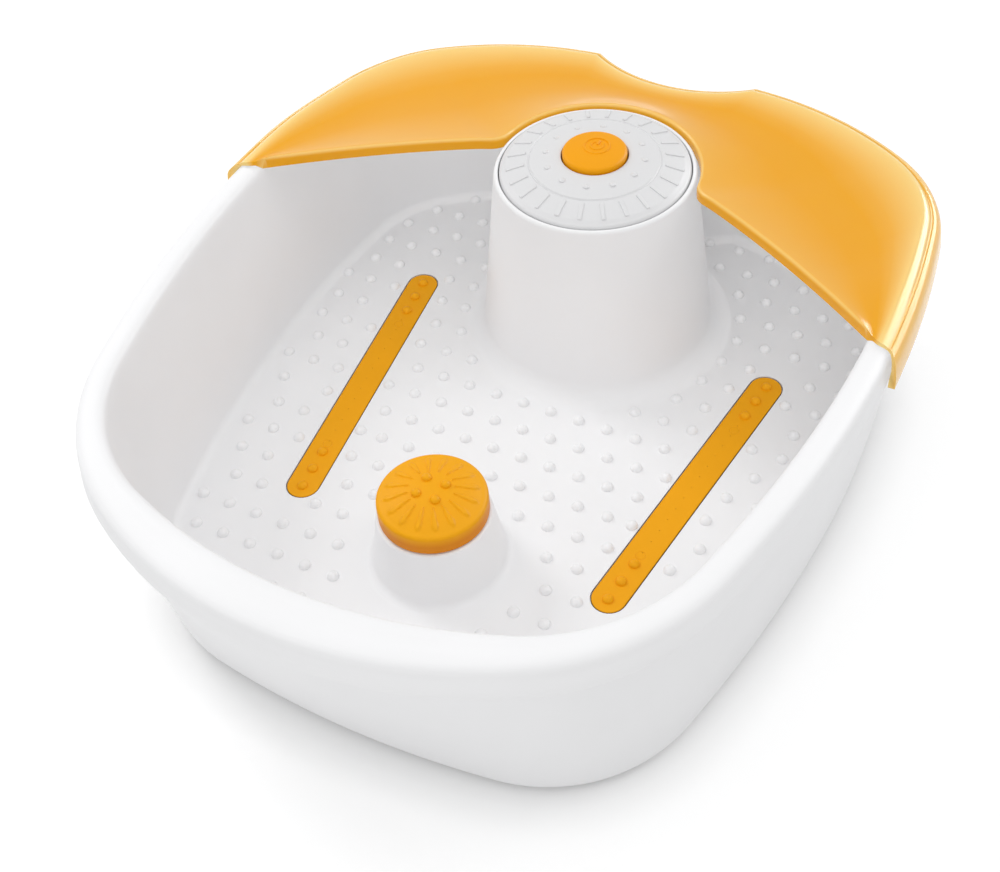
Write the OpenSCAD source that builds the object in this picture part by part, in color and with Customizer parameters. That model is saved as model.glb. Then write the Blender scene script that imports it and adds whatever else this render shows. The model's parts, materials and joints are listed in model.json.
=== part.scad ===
// Pedicure foot bath with a bubble blower, a control column and a lift-off splash guard.
// The bath stands on its feet at z = 0, with the user's side towards -Y.

/* [Tub] */
// Height of the tub floor above the table
floor_z = 28; // [27.5:0.5:29]
// Depth of the tub from the top of its rim to its floor
tub_depth = 101; // [98:1:104]
// Wall thickness of the tub and of the housing
wall = 2.5; // [2.2:0.1:2.6]
// How far the rim sinks towards the back
rim_sink = 7.5; // [5:0.5:8]
// Half width of the notch at the back
notch_x = 46; // [42:1:50]
// Depth of the notch at the back of the rim
notch_deep = 15; // [12:1:16]
// Depth of the notch at the back of the base
base_notch_deep = 14; // [13:1:15]

/* [Column] */
// Distance of the column behind the middle of the bath
col_y = 99; // [97.5:0.5:99.5]
// Radius of the column at its top
col_r = 51.3; // [51:0.1:51.6]
// Radius of the column above its foot
col_foot_r = 61.5; // [60:0.5:62]
// Height of the column above the tub floor
col_h = 102.5; // [101:0.5:103]

/* [Dial and button] */
// Radius of the turning dial
dial_r = 48.4; // [47.5:0.1:48.6]
// Height of the dial's edge above the column's edge
dial_proud = 1.3; // [0.5:0.1:2]
// Radius of the dial's domed face
dome_r = 145; // [135:1:160]
// Number of raised ticks round the dial
dial_ticks = 24; // [12:12:36]
// Radius of the power button
button_r = 16.3; // [15:0.1:16.4]
// Height of the button's edge above the dial
button_h = 2.6; // [2.5:0.1:4]
// How far the button travels
button_travel = 2.5; // [1.5:0.1:3]

/* [Massage pad] */
// Distance of the pad in front of the middle of the bath
pad_y = -82; // [-84.5:0.5:-78.5]
// Radius of the pad
pad_r = 26.2; // [25:0.1:27]
// Height of the pad's face above the tub floor
pad_h = 43.4; // [42:0.2:45]
// Thickness of the pad
pad_t = 11; // [10:0.5:12]
// Number of raised rays on the pad
pad_rays = 16; // [10:2:20]
// Height of the pad's crown over its edge
pad_crown = 4.6; // [3:0.2:6]

/* [Bubble strips] */
// Length of a strip
strip_l = 175; // [165:1:178]
// Width of a strip
strip_w = 17; // [15:0.5:18]
// Distance of a strip's middle from the centre line
strip_x = 94; // [92:0.5:96]
// Distance of a strip's middle behind the middle of the bath
strip_y = 6; // [2.5:0.5:7.5]
// How far a strip turns outwards towards the back, in degrees
strip_turn = 6.8; // [5:0.1:8]

/* [Splash guard] */
// Thickness of the guard
guard_t = 2.4; // [2:0.1:2.6]
// Height of the guard's front lip
lip_h = 6; // [5:0.5:7]
// How deep the deck is dished
dish = 4; // [0:0.5:5]

/* [Blower] */
// Radius of the blower housing
blower_r = 40; // [39:0.5:41]
// Radius of the impeller
impeller_r = 34; // [30:0.5:35]
// Number of impeller blades
blades = 9; // [6:1:12]
// Radius of the motor can
motor_r = 17.5; // [16:0.5:18]
// Height of the motor can
motor_h = 38; // [36:1:40]
// Radius of an air hose
hose_r = 4; // [3.8:0.1:4]

/* [Hidden] */
$fn = 64;

// Colours
white = "#f4f4f5";
orange = "#f0a31e";
amber = "#f0ad35";
grey = "#8a8d90";
steel = "#b8bbbf";
dark = "#2b2c2e";
board_green = "#2f6b45";
bronze = "#b58a3c";
copper = "#9a5a33";
heater_grey = "#9aa0a6";

// Heights
rim_z = floor_z + tub_depth;
floor_under = floor_z - wall;
foot_h = 3;
plate_t = 3;
base_z = foot_h;
plate_z = base_z + plate_t;
col_z = floor_z + col_h;
eps = 0.05;

// Outlines seen from above, as arcs from the front centre round to the notch: [radius, turn]
rim_front = -209.5;
rim_arcs = [[203, 29.5], [115, 47], [1200, 1.5], [540, 11.9], [561.2, 9.68], [76, 46.72], [172, 30]];
base_front = -173.5;
base_arcs = [[550, 7.5], [80, 69], [840, 2], [718, 8.5], [500, 10.5], [65, 45], [182, 28]];
arc_steps = 7;
notch_steps = 6;
// The guard begins where the fifth arc of the rim begins
guard_first = 4 * arc_steps;

function arc_end(p, a, r, turn) = p + r * [sin(a + turn) - sin(a), cos(a) - cos(a + turn)];

function run_arcs(arcs, inset, p, a, i = 0) = i == len(arcs) ? [] :
    let (r = arcs[i][0] - inset)
    let (to_notch = 180 - asin(sin(a) + (notch_x - p.x) / r) - a)
    let (turn = i == len(arcs) - 1 ? to_notch : arcs[i][1])
    concat(
        [for (k = [1:arc_steps]) arc_end(p, a, r, turn * k / arc_steps)],
        run_arcs(arcs, inset, arc_end(p, a, r, turn), a + turn, i + 1)
    );

function notch(p, deep) =
    let (r = (p.x * p.x + deep * deep) / (2 * deep))
    let (half = asin(p.x / r))
    [for (k = [1:notch_steps])
        let (b = half * (1 - k / notch_steps))
        [r * sin(b), p.y - deep + r * (1 - cos(b))]];

// Right half of an outline, moved inwards by inset
function half_outline(arcs, front, deep, inset) =
    let (start = [0, front + inset])
    let (side = run_arcs(arcs, inset, start, 0))
    concat([start], side, notch(side[len(side) - 1], deep));

function smooth(t) = let (c = min(max(t, 0), 1)) c * c * (3 - 2 * c);
sink_from = 57.5;
sink_over = 100;
function sink(y) = rim_sink * smooth((y - sink_from) / sink_over);
// Drops a point at the back in step with the rim
function sunk(x, y, z) = [x, y, z - sink(y) * max(0, z - floor_z) / tub_depth];

// Right half of the wall's outline: grow 0 is the base, 1 the rim
function half_ring(grow, inset, z) =
    let (low = half_outline(base_arcs, base_front, base_notch_deep, inset))
    let (high = half_outline(rim_arcs, rim_front, notch_deep, inset))
    [for (i = [0:len(low) - 1]) let (p = low[i] + (high[i] - low[i]) * grow) sunk(p.x, p.y, z)];

function mirror_x(p) = [-p.x, p.y, p.z];
function whole(h) = concat(h, [for (i = [len(h) - 2:-1:1]) mirror_x(h[i])]);
function ring(grow, inset, z) = whole(half_ring(grow, inset, z));

// Faces of a loft: a cap on the first ring, the sides, and a cap on the last ring
function loft_sides(n, last) = [for (k = [0:last - 1]) for (i = [0:n - 1])
    let (a = k * n + i, b = k * n + (i + 1) % n)
    each [[a, b, a + n], [b, b + n, a + n]]];

// Closed solid through flat rings that all have the same number of points
module loft(rings) {
    n = len(rings[0]);
    last = len(rings) - 1;
    caps = [[for (i = [n - 1:-1:0]) i], [for (i = [0:n - 1]) last * n + i]];
    polyhedron([for (r = rings) for (p = r) p], concat(caps, loft_sides(n, last)));
}

// Closed solid through sections of a sheet, each with its upper points out and its lower points back
module sheet_loft(sections) {
    n = len(sections[0]);
    last = len(sections) - 1;
    ends = [for (i = [0:n / 2 - 2])
        let (a = i, b = i + 1, c = n - 2 - i, d = n - 1 - i, e = last * n)
        each [[a, c, b], [a, d, c], [e + a, e + b, e + c], [e + a, e + c, e + d]]];
    polyhedron([for (s = sections) for (p = s) p], concat(ends, loft_sides(n, last)));
}

// Section of the rolled rim, outwards from its crest: [inset, height under the crest]
rim_roll = [[4.4, -0.5], [2.1, -2], [0.6, -4.6], [0, -8.5]];
// The same section from there down to the lip's lower edge, and back up inside the lip
rim_lip = [[0.3, -12.5], [1.4, -17], [3.2, -20.5], [4.6, -22.5], [5.2, -22.5], [4.2, -12], [4.2, -9]];
rim_low = -22.5;
// The tub's wall at the rim, and its edge: [inset, height under the crest]
rim_in = 0.515;
tub_edge = [[7.1, -8], [6.7, -4.5], [5.8, -2], [4.2, -0.5]];

// Right half of the crest, midway between the tub's edge and the roll
function crest(z) =
    let (a = half_ring(rim_in, tub_edge[3][0], z), b = half_ring(1, rim_roll[0][0], z))
    [for (i = [0:len(a) - 1]) (a[i] + b[i]) / 2];

// Moves a section outwards by t
function grown(section, t) = [for (i = [0:len(section) - 1])
    let (v = section[min(i + 1, len(section) - 1)] - section[max(i - 1, 0)])
    section[i] + t * [v[1], -v[0]] / norm(v)];

module tub_shell() {
    floor_edge = [[11, 0], [6.4, 1.4], [4, 5.5]];
    loft(concat(
        [for (e = floor_edge) ring(0, e[0], floor_z + e[1])],
        [for (e = tub_edge) ring(rim_in, e[0], rim_z + e[1])],
        [whole(crest(rim_z))],
        [for (e = concat(rim_roll, rim_lip)) ring(1, e[0], rim_z + e[1])],
        [ring(rim_in, tub_edge[0][0] - wall, rim_z - 9.5), ring(0, floor_edge[2][0] - wall, floor_z + 1)],
        [ring(0, 2.4, floor_under + 1), ring(0, 4.5, floor_under)]
    ));
}

// Points of a quarter circle, from angle a to angle b
function bend(c, r, a, b, n = 6) = [for (k = [0:n]) let (t = a + (b - a) * k / n) c + r * [cos(t), sin(t)]];

// Column
col_fillet = 12;
col_recess_z = col_z - 4.5;
deck_t = 3;
deck_under = col_recess_z - deck_t;
recess_r = 49;
hub_r = 19;
hub_fit = 0.05;
guide_r = 22;
guide_low = deck_under - 2;
col_edge_r = col_foot_r + col_fillet;

module column_shell() {
    foot = [col_edge_r, floor_z + col_fillet];
    translate([0, col_y]) rotate_extrude() polygon(concat(
        bend(foot, col_fillet, 270, 180),
        [[col_r, col_z - 2], [col_r - 0.3, col_z - 0.9], [col_r - 0.9, col_z - 0.2], [col_r - 1.4, col_z]],
        [[recess_r, col_z - 0.3], [recess_r, col_recess_z], [hub_r + hub_fit, col_recess_z]],
        [[hub_r + hub_fit, guide_low], [guide_r, guide_low], [guide_r, deck_under]],
        [[col_r - wall, deck_under]],
        bend(foot, col_fillet + wall, 180, 270)
    ));
}

// Pedestal under the massage pad
ped_fillet = 4;
ped_foot_r = pad_r + 6;
ped_top_r = pad_r + 1.4;
ped_z = floor_z + pad_h - pad_t - 0.4;
spigot_r = 9;
spigot_z = ped_z + 7;
ped_edge_r = ped_foot_r + ped_fillet;

module pedestal_shell() {
    foot = [ped_edge_r, floor_z + ped_fillet];
    translate([0, pad_y]) rotate_extrude() polygon(concat(
        bend(foot, ped_fillet, 270, 180),
        [[ped_top_r, ped_z - 1.5], [ped_top_r - 1.5, ped_z]],
        [[spigot_r, ped_z], [spigot_r, spigot_z - 1], [spigot_r - 1, spigot_z], [0, spigot_z]],
        [[0, spigot_z - wall], [spigot_r - wall, spigot_z - wall], [spigot_r - wall, ped_z - wall]],
        [[ped_top_r - wall, ped_z - wall]],
        bend(foot, ped_fillet + wall, 180, 270)
    ));
}

// Places of the screws that hold the housing to the tub, of the feet and of the column's posts
base_screw_at = [[55, -132.5], [125, -62.5], [130, 89.5], [78, 149.5]];
boss_r = 5;
boss_low = plate_z + 0.2;
foot_at = [[108, -102.5], [116, 115.5]];
foot_r = 9;
foot_seat = 1;
carrier_post_at = 41;
carrier_post_r = 4;
carrier_turns = [90, 210, 330];
carrier_z = 100.5;
board_post_at = 30;
board_post_r = 3;
board_turns = [30, 150, 270];
board_z = 115;

module both_sides(places) {
    for (p = places) for (side = [-1, 1]) translate([side * p.x, p.y]) children();
}

module round_column(turns, at) {
    for (a = turns) translate([0, col_y]) rotate(a) translate([at, 0]) children();
}

// Bubble strips
strip_t = 2;
strip_gap = 0.3;
strip_pad = 3.5;
pad_under = floor_z - strip_t - strip_pad;
air_slot_w = 5;
air_slot_l = 120;

module strip_place(side) {
    translate([side * strip_x, strip_y]) rotate(-side * strip_turn) children();
}

// A long flat shape with round ends
module slot_shape(l, w) {
    square([w, l - w], center = true);
    for (end = [-1, 1]) translate([0, end * (l - w) / 2]) circle(d = w);
}

module tub() {
    color(white) difference() {
        union() {
            difference() {
                tub_shell();
                translate([0, col_y, floor_under - 5]) cylinder(r = col_edge_r - 0.5, h = wall + 6);
                translate([0, pad_y, floor_under - 5]) cylinder(r = ped_edge_r - 0.5, h = wall + 6);
            }
            column_shell();
            pedestal_shell();
            for (side = [-1, 1]) strip_place(side) translate([0, 0, pad_under])
                linear_extrude(strip_pad + strip_t - 1) slot_shape(strip_l + 6, strip_w + 6);
            both_sides(base_screw_at) translate([0, 0, boss_low])
                cylinder(r = boss_r, h = floor_under - boss_low + 1);
            round_column(carrier_turns, carrier_post_at) translate([0, 0, carrier_z])
                cylinder(r = carrier_post_r, h = deck_under - carrier_z + 1);
            round_column(board_turns, board_post_at) translate([0, 0, board_z])
                cylinder(r = board_post_r, h = deck_under - board_z + 1);
        }
        for (side = [-1, 1]) strip_place(side) {
            translate([0, 0, floor_z - strip_t]) linear_extrude(strip_t + 1)
                slot_shape(strip_l + 2 * strip_gap, strip_w + 2 * strip_gap);
            translate([0, 0, pad_under - 1]) linear_extrude(strip_pad + 2)
                slot_shape(air_slot_l, air_slot_w);
        }
        both_sides(base_screw_at) translate([0, 0, boss_low - 1]) cylinder(r = screw_r + eps, h = 15);
        round_column(carrier_turns, carrier_post_at) translate([0, 0, carrier_z - 1])
            cylinder(r = small_screw_r + eps, h = 9);
        round_column(board_turns, board_post_at) translate([0, 0, board_z - 1])
            cylinder(r = small_screw_r + eps, h = 6);
    }
}

// Screws
screw_r = 1.5;
small_screw_r = 1.25;
screw_hole = 0.25;

// A pan-head screw that points up, with its head's underside at z = 0
module screw(r, l) {
    cylinder(r = r, h = l);
    difference() {
        translate([0, 0, -1.6]) cylinder(r = 2.1 * r, h = 1.6);
        for (a = [0, 90]) rotate(a) translate([-1.4 * r, -0.3, -1.7]) cube([2.8 * r, 0.6, 0.8]);
    }
}

// Housing
house_wall = 2.2;
house_top = rim_z - 12;
house_h = rim_z + rim_low - base_z;
house_tuck = 5.7;
head_z = base_z + 1.8;
blower_lug_at = 46;
lug_r = 4.5;
lug_t = 3;
blower_z = plate_z + 2;
lug_turns = [90, 195, 345];
gland_z = 18;
gland_r = 5.5;

// Ring of the housing's wall, which runs from the base outline to inside the rim's lip
function house_grow(z) = min(1, (z - base_z) / house_h);
function house_inset(z) = house_tuck * house_grow(z) * house_grow(z);
function house_ring(inset, z) = ring(house_grow(z), house_inset(z) + inset, z);

module house_shell() {
    levels = [for (k = [0:4]) base_z + 8 + (house_h - 8) * k / 4];
    round_edge = [[0, 5], [1, 1.5], [4, 0]];
    loft(concat(
        [house_ring(house_wall + 3, plate_z)],
        [for (z = levels) house_ring(house_wall, z)],
        [house_ring(house_wall, house_top), house_ring(0, house_top)],
        [for (k = [4:-1:0]) house_ring(0, levels[k])],
        [for (e = round_edge) house_ring(e[0], base_z + e[1])]
    ));
}

module base_housing() {
    color(white) difference() {
        union() {
            house_shell();
            round_column(lug_turns, blower_lug_at) translate([0, 0, plate_z - 1])
                cylinder(r = lug_r, h = blower_z - plate_z + 1);
        }
        both_sides(base_screw_at) {
            translate([0, 0, base_z - 1]) cylinder(r = screw_r + screw_hole, h = plate_t + 2);
            translate([0, 0, base_z - 1]) cylinder(r = 2.1 * screw_r + screw_hole, h = head_z - base_z + 1);
        }
        both_sides(foot_at) translate([0, 0, base_z - 1])
            cylinder(r = foot_r + screw_hole, h = foot_seat + 1);
        round_column(lug_turns, blower_lug_at) translate([0, 0, blower_z - 4])
            cylinder(r = small_screw_r + eps, h = 5);
        translate([0, gland_y, gland_z]) rotate([-90, 0, 0]) translate([0, 0, -12])
            cylinder(r = gland_r + eps, h = 24);
    }
}

module rubber_feet() {
    color(dark) both_sides(foot_at) rotate_extrude() polygon([
        [0, 0], [foot_r - 1, 0], [foot_r - 0.3, 0.4], [foot_r, 1.2],
        [foot_r, base_z + foot_seat], [0, base_z + foot_seat]
    ]);
}

module base_screws() {
    color(steel) both_sides(base_screw_at) translate([0, 0, head_z]) screw(screw_r, 14);
}

// Splash guard
guard_gap = 0.6;
// Top of the guard over the rim, outwards from the crest: [inset, height over the rim]
guard_roll = [[6.2, 2.6], [3.2, 0.9], [-0.6, -1.2], [-2.3, -4.2], [-3.2, -8.5], [-3.8, -12.5], [-3.8, -17]];
skirt = [for (k = [4:6]) [-guard_gap, guard_roll[k][1]]];
// The lip's round edge, above and below: [distance in from the edge, depth under the deck]
lip_top = [[0, 1.7], [0.55, 0.5], [1.9, 0]];
lip_under = [[guard_t, 3.4], [guard_t + 0.3, 2.8], [guard_t + 1.2, guard_t]];
deck_z = rim_z + 4;
lip_start = [158, 38];
lip_bow = [107, 74.2];
lip_end = [59, 96.7];
lip_corner = [52.6, 100];
collar_r = col_r + 1.4;
collar_turn = 9;
// How far the deck sinks towards the column
collar_drop = 1.6;
collar_start = [collar_r * cos(collar_turn), col_y + collar_r * sin(collar_turn)];
// Shares of the guard's rows along the lip and round the corner
line_share = 0.48;
corner_share = 0.07;

function bowed(a, b, c, t) = a * (1 - t) * (1 - t) + b * 2 * t * (1 - t) + c * t * t;

// Front edge of the deck seen from above: slightly bowed, round a corner, then round the column
function deck_edge(f) =
    f < line_share ? bowed(lip_start, lip_bow, lip_end, f / line_share) :
    f < line_share + corner_share ?
        bowed(lip_end, lip_corner, collar_start, (f - line_share) / corner_share) :
    let (t = (f - line_share - corner_share) / (1 - line_share - corner_share))
    let (a = collar_turn + (90 - collar_turn) * t)
    [collar_r * cos(a), col_y + collar_r * sin(a)];

// Lines along the rim: its crest at height t over it, then the section down its outside
function rolled(t, section) = concat(
    [crest(rim_z + t)],
    [for (e = section) half_ring(1, e[0], rim_z + e[1])]
);

// One side of the guard at row i: the lip with its round edge, the dished deck and the roll over the rim
function guard_side(rolls, i, f, edges) =
    let (edge = deck_edge(f))
    let (crest = rolls[0][i])
    let (flat = [crest.x, crest.y] - edge)
    let (wide = norm(flat))
    let (way = flat / wide)
    let (level = deck_z - collar_drop * smooth((f - line_share + 0.04) / 0.14))
    let (in = edges[2][0], top = level - edges[2][1])
    let (drop = dish * min(1, wide / 60))
    let (low = edge + way * edges[0][0])
    concat(
        [[low.x, low.y, level - lip_h]],
        [for (e = edges) let (p = edge + way * e[0]) [p.x, p.y, level - e[1]]],
        [for (t = [0.3, 0.65])
            let (p = edge + way * (in + (wide - in) * t))
            [p.x, p.y, top + (crest.z - top) * t - drop * sin(180 * t)]],
        [for (r = rolls) r[i]]
    );

module splash_guard() {
    over = rolled(guard_gap + guard_t, guard_roll);
    under = rolled(guard_gap, concat(grown(rim_roll, guard_gap), skirt));
    rows = len(over[0]) - guard_first;
    right = [for (k = [0:rows - 1])
        let (i = guard_first + k, f = k / (rows - 1), back = guard_side(under, i, f, lip_under))
        concat(guard_side(over, i, f, lip_top), [for (j = [len(back) - 1:-1:0]) back[j]])];
    left = [for (section = right) [for (p = section) mirror_x(p)]];
    color(amber) sheet_loft(concat(left, [for (k = [rows - 2:-1:0]) right[k]]));
}

// Massage pad: a disc with raised rays and four bumps, pushed on the pedestal's spigot
pad_z = floor_z + pad_h;
pad_low = pad_z - pad_t;
socket_fit = 0.15;
socket_z = spigot_z + 0.4;
ray_from = 10;
ray_to = pad_r - 3.2;
bump_r = 2.6;
bump_at = 5;

// The pad's crown: height over the edge at a radius, and the line from the edge to the middle
crown_r = pad_r - 2.6;
crown_steps = 6;
ray_h = 0.7;

function crown(r) = pad_crown * (1 - r * r / (crown_r * crown_r));

function crown_line(up) =
    [for (k = [0:crown_steps]) let (r = crown_r * (1 - k / crown_steps)) [r, pad_z + up + crown(r)]];

module massage_pad() {
    bump_z = pad_z + crown(bump_at * sqrt(2)) - 0.4;
    color(orange) translate([0, pad_y]) {
        rotate_extrude() polygon(concat([
            [0, socket_z], [spigot_r + socket_fit, socket_z], [spigot_r + socket_fit, pad_low],
            [pad_r - 0.8, pad_low], [pad_r, pad_low + 0.8], [pad_r, pad_z - 2], [pad_r - 0.6, pad_z - 0.9],
            [pad_r - 1.8, pad_z - 0.2]
        ], crown_line(0)));
        intersection() {
            rotate_extrude() polygon(concat([[0, socket_z + 1], [crown_r, socket_z + 1]], crown_line(ray_h)));
            for (k = [0:pad_rays - 1]) rotate(360 * (k + 0.5) / pad_rays)
                translate([0, 0, socket_z + 2]) linear_extrude(pad_t) polygon([
                    [ray_from, -0.4], [ray_to - 1, -1.3], [ray_to, 0], [ray_to - 1, 1.3], [ray_from, 0.4]
                ]);
        }
        for (sx = [-1, 1]) for (sy = [-1, 1]) translate([sx * bump_at, sy * bump_at, bump_z]) sphere(bump_r);
    }
}

// The top of a sphere of radius r, which stands up by high and reaches 1 mm down
module low_dome(r, high) {
    intersection() {
        translate([0, 0, high - r]) sphere(r);
        translate([-2 * r, -2 * r, -1]) cube(4 * r);
    }
}

// A strip with three bumps and a mark at each end, and a row of air holes
strip_bump_step = 12;
strip_bump_from = 7.5;
strip_mark_at = 33;
strip_mark_r = 1.8;
air_holes = 13;
air_hole_step = 8;
air_hole_r = 0.6;

module bubble_strip(side) {
    tip = strip_l / 2 - strip_bump_from;
    color(orange) strip_place(side) difference() {
        translate([0, 0, floor_z - strip_t]) {
            linear_extrude(strip_t) slot_shape(strip_l, strip_w);
            for (end = [-1, 1]) for (k = [0:2])
                translate([0, end * (tip - k * strip_bump_step), strip_t]) low_dome(bump_r, 1.6);
        }
        for (end = [-1, 1]) translate([0, end * (tip - strip_mark_at), floor_z - 0.5])
            cylinder(r = strip_mark_r, h = 1);
        for (k = [0:air_holes - 1])
            translate([0, (k - (air_holes - 1) / 2) * air_hole_step, floor_z - strip_t - 1])
                cylinder(r = air_hole_r, h = strip_t + 2);
    }
}

module bubble_strip_left() { bubble_strip(-1); }
module bubble_strip_right() { bubble_strip(1); }

// Air channel under a strip, with a spigot for the hose
channel_h = 8;
channel_l = 150;
channel_w = 16;
channel_t = 1.6;
channel_z = pad_under - channel_h;
hose_z = channel_z + channel_h / 2;
hose_bore = 2.6;
spout_r = hose_bore;
spout_bore = 1.6;
inlet = [strip_x - 4, strip_y + 21];
hose_line = inlet - [0, col_y];
hose_turn = atan2(hose_line.y, hose_line.x);
hose_reach = norm(hose_line);
spout_l = 10;
hose_from = blower_r + 1;
hose_to = hose_reach - 12;

// Lays a shape along the way from the blower to a strip, with +Z along the way
module hose_way(side, from) {
    mirror([side < 0 ? 1 : 0, 0, 0]) translate([0, col_y, hose_z]) rotate([0, 90, hose_turn])
        translate([0, 0, from]) children();
}

module air_channel(side) {
    color(white) difference() {
        union() {
            strip_place(side) translate([0, 0, channel_z]) linear_extrude(channel_h)
                slot_shape(channel_l, channel_w);
            hose_way(side, hose_to - spout_l + 1) cylinder(r = spout_r, h = spout_l + 8);
        }
        strip_place(side) translate([0, 0, channel_z + channel_t]) linear_extrude(channel_h)
            slot_shape(channel_l - 2 * channel_t, channel_w - 2 * channel_t);
        hose_way(side, hose_to - spout_l) cylinder(r = spout_bore, h = spout_l + 10);
    }
}

module air_channel_left() { air_channel(-1); }
module air_channel_right() { air_channel(1); }

module air_hose(side) {
    color(grey) hose_way(side, hose_from) difference() {
        cylinder(r = hose_r, h = hose_to - hose_from);
        translate([0, 0, -1]) cylinder(r = hose_bore, h = hose_to - hose_from + 2);
    }
}

module air_hose_left() { air_hose(-1); }
module air_hose_right() { air_hose(1); }

// Blower
blower_t = 2;
cover_z = 25;
cover_t = 2;
shaft_r = 1.5;
inlet_at = 25;
inlet_r = 5;

module blower_base() {
    color(white) difference() {
        union() {
            translate([0, col_y, blower_z]) cylinder(r = blower_r, h = cover_z - blower_z);
            round_column(lug_turns, blower_lug_at) translate([0, 0, blower_z]) {
                cylinder(r = lug_r, h = lug_t);
                translate([-8, -lug_r, 0]) cube([8, 2 * lug_r, lug_t]);
            }
            for (side = [-1, 1]) hose_way(side, blower_r - 3) cylinder(r = spout_r, h = spout_l);
        }
        translate([0, col_y, blower_z + blower_t]) cylinder(r = blower_r - blower_t, h = cover_z);
        for (side = [-1, 1]) hose_way(side, blower_r - 6) cylinder(r = spout_bore, h = spout_l + 6);
        round_column(lug_turns, blower_lug_at) translate([0, 0, blower_z - 1])
            cylinder(r = small_screw_r + screw_hole, h = lug_t + 2);
    }
}

module blower_screws() {
    color(steel) round_column(lug_turns, blower_lug_at) translate([0, 0, blower_z + lug_t])
        rotate([180, 0, 0]) screw(small_screw_r, 6.5);
}

module blower_cover() {
    color(white) translate([0, col_y, cover_z]) difference() {
        cylinder(r = blower_r, h = cover_t);
        translate([0, 0, -1]) cylinder(r = bearing_r + 1, h = cover_t + 2);
        for (k = [0:5]) rotate(60 * k + 30) translate([inlet_at, 0, -1])
            cylinder(r = inlet_r, h = cover_t + 2);
        for (side = [-1, 1]) translate([side * motor_screw_at, 0, -1])
            cylinder(r = small_screw_r + screw_hole, h = cover_t + 2);
    }
}

impeller_low = blower_z + blower_t + 2;
impeller_high = 22;

module impeller() {
    color(grey) translate([0, col_y, impeller_low]) difference() {
        union() {
            cylinder(r = impeller_r, h = 1.5);
            cylinder(r = 5, h = impeller_high - impeller_low);
            for (k = [0:blades - 1]) rotate(360 * k / blades) translate([4, -0.8, 0])
                cube([impeller_r - 5, 1.6, impeller_high - impeller_low]);
        }
        translate([0, 0, -1]) cylinder(r = shaft_r, h = impeller_high);
    }
}

// Motor
motor_z = cover_z + cover_t;
motor_wall = 1.5;
motor_end_t = 4;
bearing_r = 3.5;
bearing_fit = 0.05;
motor_screw_at = 11;
magnet_r = 12.5;
rotor_r = 11.5;

module motor_can() {
    color(steel) translate([0, col_y, motor_z]) difference() {
        cylinder(r = motor_r, h = motor_h);
        translate([0, 0, motor_end_t]) cylinder(r = motor_r - motor_wall, h = motor_h - 2 * motor_end_t);
        translate([0, 0, -1]) cylinder(r = bearing_r, h = motor_h + 2);
        for (side = [-1, 1]) translate([side * motor_screw_at, 0, -1])
            cylinder(r = small_screw_r + eps, h = 4);
    }
}

module motor_magnets() {
    color(dark) translate([0, col_y, motor_z + motor_end_t + 3]) difference() {
        cylinder(r = motor_r - motor_wall, h = motor_h - 2 * motor_end_t - 6);
        translate([0, 0, -1]) cylinder(r = magnet_r, h = motor_h);
        translate([-4, -motor_r, -1]) cube([8, 2 * motor_r, motor_h]);
    }
}

module motor_bearings() {
    for (z = [motor_z, motor_z + motor_h - motor_end_t])
        color(bronze) translate([0, col_y, z]) difference() {
            cylinder(r = bearing_r, h = motor_end_t);
            translate([0, 0, -1]) cylinder(r = shaft_r + bearing_fit, h = motor_end_t + 2);
        }
}

weight_z = motor_z + motor_h + 3;
weight_h = 7;
weight_r = 13;
shaft_low = impeller_low - 0.5;

module motor_shaft() {
    color(steel) translate([0, col_y, shaft_low])
        cylinder(r = shaft_r, h = weight_z + weight_h - shaft_low);
}

module motor_rotor() {
    color(copper) translate([0, col_y, motor_z + motor_end_t + 4]) difference() {
        cylinder(r = rotor_r, h = motor_h - 2 * motor_end_t - 8);
        translate([0, 0, -1]) cylinder(r = shaft_r, h = motor_h);
        for (k = [0:4]) rotate(72 * k) translate([rotor_r - 2.5, -1, -1]) cube([4, 2, motor_h]);
    }
}

module eccentric_weight() {
    color(steel) translate([0, col_y, weight_z]) difference() {
        union() {
            cylinder(r = 4, h = weight_h);
            intersection() {
                cylinder(r = weight_r, h = weight_h);
                translate([-weight_r, 0, 0]) cube([2 * weight_r, weight_r, weight_h]);
            }
        }
        translate([0, 0, -1]) cylinder(r = shaft_r, h = weight_h + 2);
    }
}

module motor_screws() {
    color(steel) for (side = [-1, 1]) translate([side * motor_screw_at, col_y, cover_z])
        screw(small_screw_r, 4.5);
}

// Dial
dial_z = col_z + dial_proud;
dial_low = col_recess_z + 1;
dial_t = 2.5;
button_gap = 0.6;
bore_r = button_r + button_gap;
hub_low = deck_under - 5;
tick_from = 35;
tick_to = 45;
tick_h = 0.4;
ring_at = 33.3;
dot_at = 25;
dot_r = 0.9;

// Height of the domed face at radius r
function dome(r) = dial_z + (dial_r * dial_r - r * r) / (2 * dome_r);
function dome_line(from, to, up, n = 8) = [for (k = [0:n])
    let (r = from + (to - from) * k / n)
    [r, dome(r) + up]];

module dial_body() {
    skirt_r = dial_r - dial_t;
    rotate_extrude() polygon(concat(
        [[bore_r, hub_low], [hub_r, hub_low]],
        dome_line(hub_r, skirt_r, -dial_t),
        [[skirt_r, dial_low], [dial_r, dial_low], [dial_r, dial_z - 1.6], [dial_r - 0.5, dial_z - 0.6]],
        dome_line(dial_r - 1.6, bore_r, 0)
    ));
}

// The front tick is the index and is wider than the others
module dial_marks() {
    for (k = [0:dial_ticks - 1]) {
        w = k == 0 ? 1.6 : 0.8;
        rotate(360 * k / dial_ticks - 90) translate([tick_from, -w / 2, dial_z])
            cube([tick_to - tick_from, w, 10]);
    }
    for (k = [0:11]) rotate(30 * k) translate([dot_at, 0, dial_z]) cylinder(r = dot_r, h = 10);
}

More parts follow.
